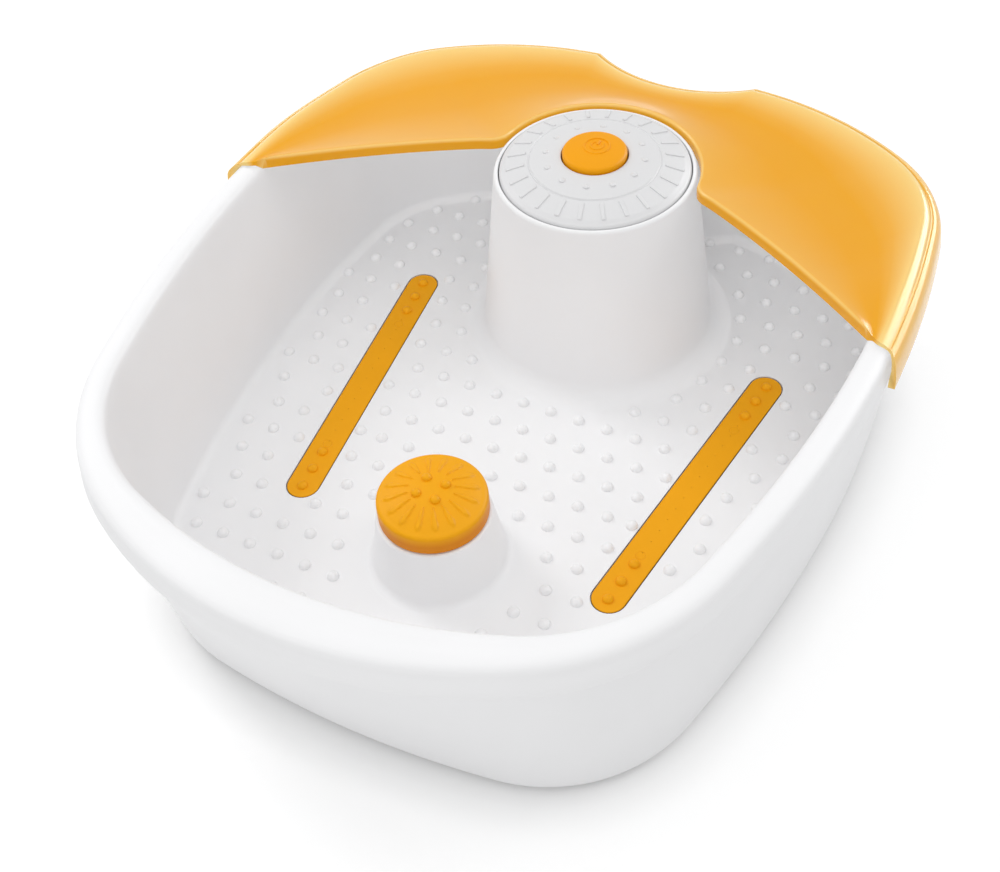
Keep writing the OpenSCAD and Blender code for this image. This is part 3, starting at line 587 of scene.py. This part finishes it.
# Places round the column, where the rows follow it
BACK_ROWS = {
    3: (71, 86, 117, 133, 148),
    4: (75, 91, 124, 140),
    5: (77, 93, 109.5, 126, 141),
    6: (72.5, 89, 105, 121, 138),
    7: (64.5, 80.7, 97, 113, 128),
    8: (46.5, 63, 79, 96, 111),
    9: (33.5, 51.5, 70),
}
# How far the bumps keep from the wall, the strips, the column's axis and the pedestal's
WALL_ROOM, STRIP_ROOM, COLUMN_ROOM, PEDESTAL_ROOM = 12, 4.2, 74, 42
BUMP_LINE = half_outline(BASE_ARCS, BASE_FRONT, BASE_NOTCH, WALL_ROOM)


def inside_floor(x, y, slack=3):
    pairs = zip(BUMP_LINE, BUMP_LINE[1:])
    near = [p[0] for p, q in pairs if min(p[1], q[1]) - slack <= y <= max(p[1], q[1]) + slack]
    return abs(x) <= max(near, default=0)


def clear_of_strips(x, y):
    for side in (-1, 1):
        turn = Matrix.Rotation(side * math.radians(STRIP_TURN), 3, "Z")
        p = turn @ Vector((x - side * STRIP_X, y - STRIP_Y, 0))
        over = max(0, abs(p.y) - (STRIP_L - STRIP_W) / 2)
        if math.hypot(p.x, over) < STRIP_W / 2 + STRIP_ROOM:
            return False
    return True


def bump_places():
    places = []
    for row in ROWS:
        if row in BACK_ROWS:
            y = ROW_FIRST + BACK_PITCH * row
            places += [(side * x, y) for x in BACK_ROWS[row] for side in (-1, 1)]
            continue
        y = ROW_FIRST + ROW_PITCH * row
        shift = 0 if row % 2 or row == EVEN_ROW else BUMP_PITCH / 2
        for k in PLACES:
            x = k * BUMP_PITCH + shift
            x = math.copysign(NUDGED.get(row, {}).get(abs(x), abs(x)), x)
            near_column = math.hypot(x, y - COLUMN_Y) < COLUMN_ROOM
            near_pedestal = math.hypot(x, y - PAD_Y) < PEDESTAL_ROOM
            if inside_floor(x, y) and clear_of_strips(x, y) and not near_column and not near_pedestal:
                places.append((x, y))
    return places


def make_bumps():
    places = [(x, y, FLOOR_Z) for x, y in bump_places()]
    return rounded(joined("floor_bumps", copies(dome_mesh(BUMP_R, BUMP_H), places)), 60)


# Housing: the outer bucket under the rim's lip

HOUSE_LOW, HOUSE_RISE, HOUSE_TUCK = 3.0, 103.5, 5.7
HOUSE_TOP = RIM_Z - 12
HOUSE_WALL = 2.2
# Heights between which the wall has its rows
LEVEL_LOW, LEVEL_HIGH, LEVELS = 11.0, 106.5, 12
# Round edge at the foot, and the corner inside it: inset, height over the foot
HOUSE_EDGE = [(0, 6), (0.15, 3.8), (0.7, 1.9), (1.9, 0.6), (3.6, 0.05), (5, 0)]
HOUSE_CORNER = (5.2, 3)


def house_ring(inset, z):
    grow = min(1, (z - HOUSE_LOW) / HOUSE_RISE)
    return ring(grow, HOUSE_TUCK * grow * grow + inset, z)


def make_housing():
    levels = [LEVEL_LOW + (LEVEL_HIGH - LEVEL_LOW) * k / LEVELS for k in range(LEVELS + 1)]
    corner = house_ring(HOUSE_CORNER[0], HOUSE_LOW + HOUSE_CORNER[1])
    inner = [house_ring(HOUSE_WALL, z) for z in levels + [HOUSE_TOP]]
    outer = [house_ring(0, z) for z in [HOUSE_TOP] + levels[::-1]]
    edge = [house_ring(i, HOUSE_LOW + h) for i, h in HOUSE_EDGE]
    return rounded(laid("outer_bucket", [corner] + inner + outer + edge), 40)


# Splash guard: a dished deck that rolls over the rim, with a bead along its front edge

GUARD_T, GUARD_GAP = 2.4, 0.6
DECK_Z = RIM_Z + 4
# The dish is this deep where the deck is wide, and less where it is narrower
DISH, DISH_WIDE = 4.0, 60.0
DECK_CUTS = (0.08, 0.18, 0.3, 0.42, 0.54, 0.66, 0.78, 0.9)
LIP_H = 6.0
# Front edge from above: its end on the rim, what bows it, its end by the collar and the corner there
LIP_START, LIP_BOW = Vector((158, 38)), Vector((107, 74.2))
LIP_END, LIP_CORNER = Vector((59, 96.7)), Vector((52.6, 100))
COLLAR_R, COLLAR_TURN, COLLAR_DROP = 52.7, 9.0, 1.6
# Shares of the guard's rows along the lip and round the corner, and those in which the collar drops
LIP_SHARE, CORNER_SHARE = 0.48, 0.07
DROP_BEFORE, DROP_SHARE = 0.04, 0.14
# Round edge of the lip, above and below: distance in from the edge, depth under the deck
LIP_TOP = [(0, 2.0), (0.08, 1.35), (0.35, 0.75), (0.8, 0.3), (1.35, 0.06), (1.9, 0)]
LIP_UNDER = [(2.4, 3.4), (2.5, 3.0), (2.7, 2.8), (3.0, 2.6), (3.3, 2.45), (3.6, 2.4)]
# Top of the guard over the rim with the groove along its shoulder: inset, height over the rim
SHOULDER = [(6.4, 2.9), (5.3, 2.6), (4.3, 2.1), (3.4, 1.35)]
SHOULDER += [(2.9, 0.75), (2.4, 0.35), (1.9, 0.35), (1.5, 0.75)]
FLANGE = [(0.7, 0.45), (-0.5, -0.35), (-1.6, -1.6), (-2.4, -3.5)]
FLANGE += [(-2.9, -5.8), (-3.25, -8.5), (-3.8, -12.5), (-3.8, -17)]
INSIDE = [(4.2, 0.1), (3.2, -0.4), (1.7, -1.6), (0.6, -3.2), (0.1, -4.6), (-0.35, -6.5), (-0.6, -8.5)]
# Rows of the section between which the groove lies
GROOVE_FROM, GROOVE_TO = 4, 8
# The ends: in how many rows they reach forward down the rim and the groove fades, how far the crest
# moves back and the flange forward, and between which insets
END_ROWS, FADE_ROWS = 4, 2
END_BACK, END_REACH, END_INSET, END_WIDE = 2, 5, 2.5, 5
# Solid part of the deck at the ends: rows, depth under the deck, and how it deepens away from the rim
SOLID_ROWS, SOLID_TOP, SOLID_DEEPER, SOLID_X, SOLID_WIDE = 3, 3.4, 2.8, 164, 4.5


def bowed(a, b, c, t):
    return a * (1 - t) ** 2 + b * 2 * t * (1 - t) + c * t * t


def collar_point(degrees):
    a = math.radians(degrees)
    return Vector((COLLAR_R * math.cos(a), COLUMN_Y + COLLAR_R * math.sin(a)))


def deck_edge(f):
    """Front edge of the deck from above: slightly bowed, round a corner, then round the column."""
    if f < LIP_SHARE:
        return bowed(LIP_START, LIP_BOW, LIP_END, f / LIP_SHARE)
    f -= LIP_SHARE
    if f < CORNER_SHARE:
        return bowed(LIP_END, LIP_CORNER, collar_point(COLLAR_TURN), f / CORNER_SHARE)
    round_collar = (90 - COLLAR_TURN) * (f - CORNER_SHARE) / (1 - LIP_SHARE - CORNER_SHARE)
    return collar_point(COLLAR_TURN + round_collar)


def rolled(t, section):
    return [crest(RIM_Z + t)] + [half_ring(1, inset, RIM_Z + high) for inset, high in section]


def guard_side(rolls, i, f, edges):
    """One side of the guard's section at row i: lip, dished deck and roll over the rim."""
    edge = deck_edge(f)
    ridge = rolls[0][i]
    flat = Vector((ridge.x, ridge.y)) - edge
    wide, way = flat.length, flat.normalized()
    level = DECK_Z - COLLAR_DROP * smooth((f - LIP_SHARE + DROP_BEFORE) / DROP_SHARE)
    first, top = edges[-1][0], level - edges[-1][1]
    drop = DISH * min(1, wide / DISH_WIDE)
    low = edge + way * edges[0][0]
    side = [Vector((low.x, low.y, level - LIP_H))]
    for reach, deep in edges:
        p = edge + way * reach
        side.append(Vector((p.x, p.y, level - deep)))
    for t in DECK_CUTS:
        p = edge + way * (first + (wide - first) * t)
        side.append(Vector((p.x, p.y, top + (ridge.z - top) * t - drop * math.sin(math.pi * t))))
    return side + [r[i] for r in rolls]


def painted_light_shares():
    """Shares of painted light along the guard's section: painted paleness where the amber lies on the white
    rim, and painted highlights along the lip's top edge and the shoulder.
    """
    lip = [0.02] + [0.02, 0.1, 0.35, 0.6, 0.45, 0.2]
    deck = [0.15, 0.1, 0.05, 0, 0, 0, 0.12, 0.4]
    roll = [0.7] + [0.8, 0.9, 0.9, 0.7, 0.25, 0.05, 0.2, 0.6] + [0.42] * len(FLANGE)
    under = lip + deck + [0.85] * (1 + len(INSIDE) + 2)
    return lip + deck + roll + under[::-1]


def sweep_ends(over, under):
    """Brings the ends further forward down the outside of the rim, and runs the groove out before them."""
    for k in range(END_ROWS):
        i, share = GUARD_FIRST + k, 1 - k / END_ROWS
        for rows, section in ((over, SHOULDER + FLANGE), (under, INSIDE + FLANGE[-2:])):
            rows[0][i].y += END_BACK * share
            for row, (inset, _) in zip(rows[1:], section):
                row[i].y -= END_REACH * smooth((END_INSET - inset) / END_WIDE) * share
        fade = max(0, 1 - k / FADE_ROWS)
        for j in range(GROOVE_FROM + 1, GROOVE_TO):
            along = (j - GROOVE_FROM) / (GROOVE_TO - GROOVE_FROM)
            full = over[GROOVE_FROM][i].lerp(over[GROOVE_TO][i], along)
            over[j][i] = over[j][i].lerp(full, fade)


def make_guard():
    over = rolled(GUARD_GAP + GUARD_T, SHOULDER + FLANGE)
    under = rolled(GUARD_GAP, INSIDE + [(-GUARD_GAP, high) for _, high in FLANGE[-2:]])
    sweep_ends(over, under)
    rows = len(over[0]) - GUARD_FIRST
    right = []
    for k in range(rows):
        i, f = GUARD_FIRST + k, k / (rows - 1)
        low = guard_side(under, i, f, LIP_UNDER)
        # At the ends the deck is solid down to the lip's lower edge
        for p in low[1 : 1 + len(LIP_UNDER) + len(DECK_CUTS)]:
            solid = DECK_Z - SOLID_TOP - SOLID_DEEPER * smooth((SOLID_X - p.x) / SOLID_WIDE)
            p.z += max(0, 1 - k / SOLID_ROWS) * min(0, solid - p.z)
        right.append(guard_side(over, i, f, LIP_TOP) + low[::-1])
    left = [mirrored(section) for section in right]
    return rounded(laid("amber_guard", left + right[-2::-1], painted_light=painted_light_shares()), 40)


# Massage pad: a crowned disc with moulded rays and four domes, hollow underneath for the spigot

PAD_R, PAD_Z, PAD_LOW = 26.2, 71.4, 60.4
SOCKET_R, SOCKET_Z = 9.15, 67.4
CROWN_R, CROWN_H = 23.6, 4.6
# Side with its round edges: inset, height
PAD_SIDE = [(0.9, PAD_LOW), (0.4, 60.55), (0.1, 60.9), (0, 61.5), (0, 69), (0.1, 69.8)]
PAD_SIDE += [(0.4, 70.4), (0.95, 70.85), (1.7, 71.2), (2.4, 71.37)]
# Rows of the face: the first, their step and number where the rays are, then those in the middle
FACE_R, FACE_STEP, FACE_ROWS = 23.2, 0.36, 38
POLE = 0.01
FACE_MIDDLE = [8, 5, 2.5, POLE]
# Rays: number, steps each, start, length and height
RAYS, RAY_STEPS, RAY_FROM, RAY_LONG, RAY_H = 16, 16, 10.0, 13.0, 0.75
# Half width of a ray at its ends, what is added where it is widest, and the shares on either side of that
RAY_THIN, RAY_SWELL, RAY_RISE, RAY_FALL = 0.35, 1.35, 0.78, 0.22
# Soft edges of a ray: breadth at its sides, shares of its length at the ends
RAY_EDGE, RAY_START, RAY_END = 0.55, 0.12, 0.1
KNOB_R, KNOB_H, KNOB_LOW, KNOB_AT = 2.5, 2.1, 0.9, 5


def crown(r):
    """Height of the pad's face over its edge."""
    return CROWN_H * max(0, 1 - (r / CROWN_R) ** 2)


def ray_height(r, a):
    """Height of the rays over the pad's face: spindles that widen outwards and end in a point."""
    along = (r - RAY_FROM) / RAY_LONG
    if not 0 < along < 1:
        return 0.0
    wide = RAY_THIN + RAY_SWELL * min(along / RAY_RISE, (1 - along) / RAY_FALL)
    step = 2 * math.pi / RAYS
    off = abs((a / step) % 1 - 0.5) * step * r
    ends = smooth(along / RAY_START), smooth((1 - along) / RAY_END)
    return RAY_H * smooth((wide - off) / RAY_EDGE) * ends[0] * ends[1]


def pad_row(r, z, rays=False):
    points = []
    steps = RAY_STEPS * RAYS
    for k in range(steps):
        a = 2 * math.pi * k / steps
        high = z + (ray_height(r, a) if rays else 0)
        points.append(Vector((r * math.cos(a), PAD_Y + r * math.sin(a), high)))
    return points


def make_pad():
    body = [(POLE, SOCKET_Z), (SOCKET_R, SOCKET_Z), (SOCKET_R, PAD_LOW)]
    body += [(PAD_R - inset, z) for inset, z in PAD_SIDE]
    face = [FACE_R - FACE_STEP * k for k in range(FACE_ROWS)] + FACE_MIDDLE
    rows = [pad_row(r, z) for r, z in body] + [pad_row(r, PAD_Z + crown(r), rays=True) for r in face]
    disc = laid("pad_disc", rows)
    top = PAD_Z + crown(math.hypot(KNOB_AT, KNOB_AT))
    places = [(x, PAD_Y + y, top) for x in (-KNOB_AT, KNOB_AT) for y in (-KNOB_AT, KNOB_AT)]
    return rounded(joined("ray_pad", [disc] + copies(dome_mesh(KNOB_R, KNOB_H, low=KNOB_LOW), places)), 50)


# Bubble strips: flush plates with a soft edge, three domes and a ring mark at each end, and fine air holes

# Soft edge: inset, height over the floor
STRIP_EDGE = [(0, -2), (0, -0.7), (0.12, -0.3), (0.4, -0.08), (0.8, 0)]
STUD_R, STUD_H, STUD_PITCH, STUDS = 2.8, 2.2, 12, 3
STUD_TIP = STRIP_L / 2 - 7.5
# Ring marks: end of the strip and distance from its first dome, then their size and rise
MARKS = ((-1, 30), (1, 35.5))
MARK_R, MARK_WIRE, MARK_RISE = 2.4, 0.35, 0.2
AIR_HOLES, AIR_R, AIR_PITCH, AIR_DEEP = 13, 0.25, 8, 8


def make_strip(name, side):
    sections = [(STRIP_L - 2 * i, STRIP_W - 2 * i, FLOOR_Z + h) for i, h in STRIP_EDGE]
    plate = laid("strip_plate", [slot_line(side, *section, 20) for section in sections])
    for end, reach in MARKS:
        at = on_strip(side, 0, end * (STUD_TIP - reach), FLOOR_Z)
        deselect()
        bpy.ops.mesh.primitive_torus_add(
            major_radius=MARK_R * MM,
            minor_radius=MARK_WIRE * MM,
            major_segments=28,
            minor_segments=10,
            location=(at.x * MM, at.y * MM, (at.z + MARK_RISE) * MM),
        )
        cut(plate, bpy.context.object)
    for k in range(AIR_HOLES):
        at = on_strip(side, 0, (k - AIR_HOLES // 2) * AIR_PITCH, FLOOR_Z)
        deselect()
        bpy.ops.mesh.primitive_cylinder_add(
            vertices=12, radius=AIR_R * MM, depth=AIR_DEEP * MM, location=at * MM
        )
        cut(plate, bpy.context.object)
    reaches = [end * (STUD_TIP - STUD_PITCH * k) for end in (-1, 1) for k in range(STUDS)]
    studs = copies(dome_mesh(STUD_R, STUD_H), [on_strip(side, 0, reach, FLOOR_Z) for reach in reaches])
    return rounded(joined(name, [plate] + studs), 50)


# Dial: a domed disc with raised ticks, a fine ring and a circle of dots

DIAL_R, DIAL_Z, DIAL_LOW, DIAL_DOME = 48.4, 131.8, 127.0, 290
DIAL_T, DIAL_HOLE, HUB_R, HUB_LOW, SKIRT_R = 2.5, 16.9, 19, 118, 45.9
# Round edge: radius, height
DIAL_EDGE = [(48.4, 129.6), (48.3, 130.3), (48.05, 130.9), (47.6, 131.45), (46.9, 131.85), (46.1, 132.1)]
# The fine ring and the edge of the hole: radius, depth under the face
DIAL_GROOVE = [(33.95, 0), (33.65, 0.4), (33.3, 0.6), (32.95, 0.4)]
HOLE_EDGE = [(17.1, 0.25), (16.9, 0.7)]
# Ticks: number, from where to where, height, thickness, bevel, and width of the first and of the others
TICKS, TICK_IN, TICK_OUT, TICK_H, TICK_T, TICK_BEVEL = 24, 35.4, 45, 0.75, 2, 0.45
TICK_FIRST, TICK_W = 2.6, 2.0
DOTS, DOT_AT, DOT_R, DOT_H = 12, 25, 1.7, 0.85


def dial_face(r):
    return DIAL_Z + (DIAL_R**2 - r**2) / DIAL_DOME


def make_tick(width, degrees):
    """A raised bar along a radius of the dial, with bevelled edges."""
    deselect()
    mid = (TICK_IN + TICK_OUT) / 2
    bpy.ops.mesh.primitive_cube_add(size=1)
    tick = added("tick")
    edit(tick)
    bpy.ops.transform.resize(value=((TICK_OUT - TICK_IN) * MM, width * MM, TICK_T * MM))
    bpy.ops.mesh.bevel(offset=TICK_BEVEL * MM, segments=2, affect="EDGES")
    bpy.ops.object.mode_set(mode="OBJECT")
    for v in tick.data.vertices:
        v.co.z += (dial_face(mid + v.co.x / MM) + TICK_H - TICK_T / 2) * MM
        v.co.x += mid * MM
    turn = Matrix.Rotation(math.radians(degrees), 4, "Z")
    tick.data.transform(Matrix.Translation((0, COLUMN_Y * MM, 0)) @ turn)
    return tick


def make_dial():
    def face(r0, r1, n, up=0.0):
        radii = [r0 + (r1 - r0) * k / n for k in range(n + 1)]
        return [(r, dial_face(r) + up) for r in radii]

    profile = [(DIAL_HOLE, HUB_LOW), (HUB_R, HUB_LOW)] + face(HUB_R, SKIRT_R, 10, -DIAL_T)
    profile += [(SKIRT_R, DIAL_LOW), (DIAL_R, DIAL_LOW)] + DIAL_EDGE
    profile += face(45.2, 34.25, 12)
    profile += [(r, dial_face(r) - deep) for r, deep in DIAL_GROOVE]
    profile += face(32.6, 17.6, 14)
    profile += [(r, dial_face(r) - deep) for r, deep in HOLE_EDGE]
    disc = turned("dial_disc", profile, COLUMN_Y, 160)
    apart = 360 // TICKS
    marks = [make_tick(TICK_W if k else TICK_FIRST, apart * k - 90) for k in range(TICKS)]
    dots = []
    for k in range(DOTS):
        a = math.radians(360 // DOTS * k + 15)
        dots.append((DOT_AT * math.cos(a), COLUMN_Y + DOT_AT * math.sin(a), dial_face(DOT_AT)))
    marks += copies(dome_mesh(DOT_R, DOT_H, segments=14), dots)
    return rounded(joined("ticked_dial", [disc] + marks), 40)


# Button: a shallow cap with a ring and a power symbol raised on it

BUTTON_Z, BUTTON_R, BUTTON_INNER = 141.49, 16.3, 14.3
CAP_T, SKIRT_LOW, STEM_R, STEM_LOW = 3, 124, 3, 110
# Round edge and face of the cap: radius, height over the level of its edge
CAP_EDGE = [(BUTTON_R, -1.7), (16.2, -1.1), (15.9, -0.6), (15.4, -0.2), (14.6, 0.05)]
CAP_FACE = [(12, 0.3), (8, 0.55), (4, 0.72), (0, 0.8)]
# Symbol: its place on the cap, then radius, wire, gap and height of its ring and its arc, and the stroke
SYMBOL_Y = COLUMN_Y + 2.5
RING, ARC = (6.4, 0.6, 0, 0.62), (3.2, 0.62, 70, 0.74)
STROKE_AT, STROKE_R, STROKE_L, STROKE_RISE, STROKE_BEVEL = 2.3, 0.6, 3.4, 0.74, 0.12
HOOP_STEPS, HOOP_SIDES, HOOP_FLAT = 40, 8, 0.8


def hoop(name, r, thick, gap, rise):
    """A round wire lying on the button, open at the back by a gap in degrees."""
    rows = []
    for k in range(HOOP_STEPS + (1 if gap else 0)):
        a = math.radians(90 + gap / 2 + (360 - gap) * k / HOOP_STEPS)
        rows.append(wire_ring(r, a, SYMBOL_Y, BUTTON_Z + rise, thick, HOOP_SIDES, HOOP_FLAT))
    if not gap:
        rows.append(rows[0])
    return laid(name, rows)


def make_stroke():
    deselect()
    centre = (0, (SYMBOL_Y + STROKE_AT) * MM, (BUTTON_Z + STROKE_RISE) * MM)
    bpy.ops.mesh.primitive_cylinder_add(
        vertices=12, radius=STROKE_R * MM, depth=STROKE_L * MM, location=centre
    )
    stroke = added("stroke")
    edit(stroke)
    bpy.ops.transform.rotate(value=math.pi / 2, orient_axis="X", center_override=centre)
    bpy.ops.mesh.bevel(offset=STROKE_BEVEL * MM, segments=2, affect="EDGES")
    deselect()
    return stroke


def make_button():
    under = BUTTON_Z - CAP_T
    profile = [(0, STEM_LOW), (STEM_R, STEM_LOW), (STEM_R, under), (BUTTON_INNER, under)]
    profile += [(BUTTON_INNER, SKIRT_LOW), (BUTTON_R, SKIRT_LOW)]
    profile += [(r, BUTTON_Z + h) for r, h in CAP_EDGE + CAP_FACE]
    cap = turned("button_cap", profile, COLUMN_Y, 96)
    return rounded(joined("power_cap", [cap, hoop("ring", *RING), hoop("arc", *ARC), make_stroke()]), 40)


# Spring: one wire wound round the button's stem, standing on the switch

SPRING_R, SPRING_WIRE, SPRING_TURNS = 6.0, 0.6, 5
SPRING_FOOT, SPRING_HEAD, SPRING_GAP = 112.5, 138.4, 0.1
TURN_STEPS, WIRE_SIDES = 28, 10


def make_spring():
    low, high = SPRING_FOOT + SPRING_WIRE + SPRING_GAP, SPRING_HEAD - SPRING_WIRE
    steps = TURN_STEPS * SPRING_TURNS
    rows = []
    for k in range(steps + 1):
        z = low + (high - low) * k / steps
        rows.append(wire_ring(SPRING_R, 2 * math.pi * k / TURN_STEPS, COLUMN_Y, z, SPRING_WIRE, WIRE_SIDES))
    return rounded(laid("press_spring", rows), 60)


dressed(make_tub(), "white_abs", "bath", "tub")
dressed(make_bumps(), "white_abs", "bath")
dressed(make_housing(), "white_abs", "bath", "base_housing")
guard = dressed(make_guard(), "amber_clear", "guard", "splash_guard")
# Light that bounces about passes through the guard, so that the tub behind it stays bright
guard.visible_diffuse = False
dressed(make_pad(), "orange_abs", "pad", "massage_pad", look=pad_orange)
for word, hand in (("left", -1), ("right", 1)):
    strip = make_strip(f"{word}_bubble_plate", hand)
    dressed(strip, "orange_abs", "bath", f"bubble_strip_{word}", look=strip_orange)
dressed(make_dial(), "white_abs", "dial", "function_dial", look=dial_white)
dressed(make_button(), "orange_abs", "button", "power_button")
spring = dressed(make_spring(), "steel", "bath", "button_spring")
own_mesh(spring)

# Studio


def looks(tree):
    """1 for rays that show a surface to the eye, straight, mirrored or through something clear."""
    path = add(tree, "ShaderNodeLightPath").outputs
    either = path["Is Camera Ray"]
    for other in ("Is Glossy Ray", "Is Transmission Ray"):
        pair = [(either, 0), (path[other], 1)]
        either = add(tree, "ShaderNodeMath", pair, operation="MAXIMUM").outputs[0]
    return either


def make_floor():
    deselect()
    bpy.ops.mesh.primitive_plane_add(size=6)
    floor = bpy.context.object
    floor.name = "studio_floor"
    made, tree = blank("white_paper_sweep")
    paper = add(tree, "ShaderNodeBsdfDiffuse", Color=(0.85, 0.85, 0.85, 1))
    # Painted shadow: the paper's glow greys close under the object, where little light gets in
    near = add(tree, "ShaderNodeAmbientOcclusion", samples=16, Distance=0.025).outputs["AO"]
    shade = add(tree, "ShaderNodeBsdfDiffuse", Color=(0.8, 0.8, 0.8, 1))
    # and far from it the paper runs into the white behind
    at = add(tree, "ShaderNodeTexCoord").outputs["Object"]
    away = add(tree, "ShaderNodeVectorMath", [(at, 0)], operation="LENGTH").outputs["Value"]
    bright = add(
        tree, "ShaderNodeMapRange", [(away, "Value")], From_Min=0.5, From_Max=1.6, To_Min=0.3, To_Max=1.0
    )
    glow = add(tree, "ShaderNodeEmission", [(near, "Color"), (bright.outputs["Result"], "Strength")])
    lit = add(tree, "ShaderNodeAddShader", [(shade.outputs[0], 0), (glow.outputs[0], 1)])
    sources = [(looks(tree), 0), (paper.outputs[0], 1), (lit.outputs[0], 2)]
    both = add(tree, "ShaderNodeMixShader", sources)
    add(tree, "ShaderNodeOutputMaterial", [(both.outputs[0], "Surface")])
    floor.data.materials.append(made)


def make_world():
    world = bpy.data.worlds.new("studio_air")
    bpy.context.scene.world = world
    world.use_nodes = True
    tree = world.node_tree
    tree.nodes.clear()
    soft = add(tree, "ShaderNodeBackground", Color=(1, 1, 1, 1), Strength=0.63)
    white = add(tree, "ShaderNodeBackground", Color=(1, 1, 1, 1), Strength=1.0)
    sources = [(looks(tree), 0), (soft.outputs[0], 1), (white.outputs[0], 2)]
    both = add(tree, "ShaderNodeMixShader", sources)
    add(tree, "ShaderNodeOutputWorld", [(both.outputs[0], "Surface")])


def lamp(name, place, target, size, watts, gloss_only=False):
    """A square softbox facing its target; one for gloss only shows in reflections and lights nothing else."""
    data = bpy.data.lights.new(name, "AREA")
    data.size, data.energy = size, watts
    obj = bpy.data.objects.new(name, data)
    obj.location = place
    obj.rotation_euler = (Vector(target) - Vector(place)).to_track_quat("-Z", "Y").to_euler()
    obj.visible_diffuse = not gloss_only
    bpy.context.scene.collection.objects.link(obj)


# Camera: place in metres, turn, tilt and roll in degrees, and lens, as worked out from the lines of bumps
CAMERA_AT = Vector((0.25221, -0.43542, 0.57703))
CAMERA_TURN, CAMERA_TILT, CAMERA_ROLL = 31.06, 47.36, -5.176
LENS, SENSOR = 52.08, 36


def make_camera():
    az, el, roll = (math.radians(a) for a in (CAMERA_TURN, CAMERA_TILT, CAMERA_ROLL))
    back = Vector((math.sin(az) * math.cos(el), -math.cos(az) * math.cos(el), math.sin(el)))
    level = Vector((math.cos(az), math.sin(az), 0))
    upright = back.cross(level)
    right = level * math.cos(roll) + upright * math.sin(roll)
    up = upright * math.cos(roll) - level * math.sin(roll)
    data = bpy.data.cameras.new("photo_view")
    data.lens, data.sensor_width = LENS, SENSOR
    data.clip_start = 0.01
    camera = bpy.data.objects.new("photo_view", data)
    turn = Matrix((right, up, back)).transposed().to_4x4()
    camera.matrix_world = Matrix.Translation(CAMERA_AT) @ turn
    bpy.context.scene.collection.objects.link(camera)
    bpy.context.scene.camera = camera


make_floor()
make_world()
lamp("overhead_softbox", (0.1, 0.0, 1.5), (0, 0, 0.05), 1.5, 5.4)
lamp("front_softbox", (0.3, -1.4, 0.8), (0, 0, 0.08), 0.9, 3.0)
lamp("left_softbox", (-1.0, 0.25, 0.95), (0, 0, 0.08), 0.45, 3.8)
lamp("right_softbox", (0.9, 0.7, 0.8), (0, 0, 0.08), 0.5, 1.3)
lamp("gloss_softbox", (0.69, 1.14, 0.65), (0.17, 0.07, 0.13), 0.9, 21, gloss_only=True)
make_camera()
bpy.context.scene.view_settings.view_transform = "Standard"
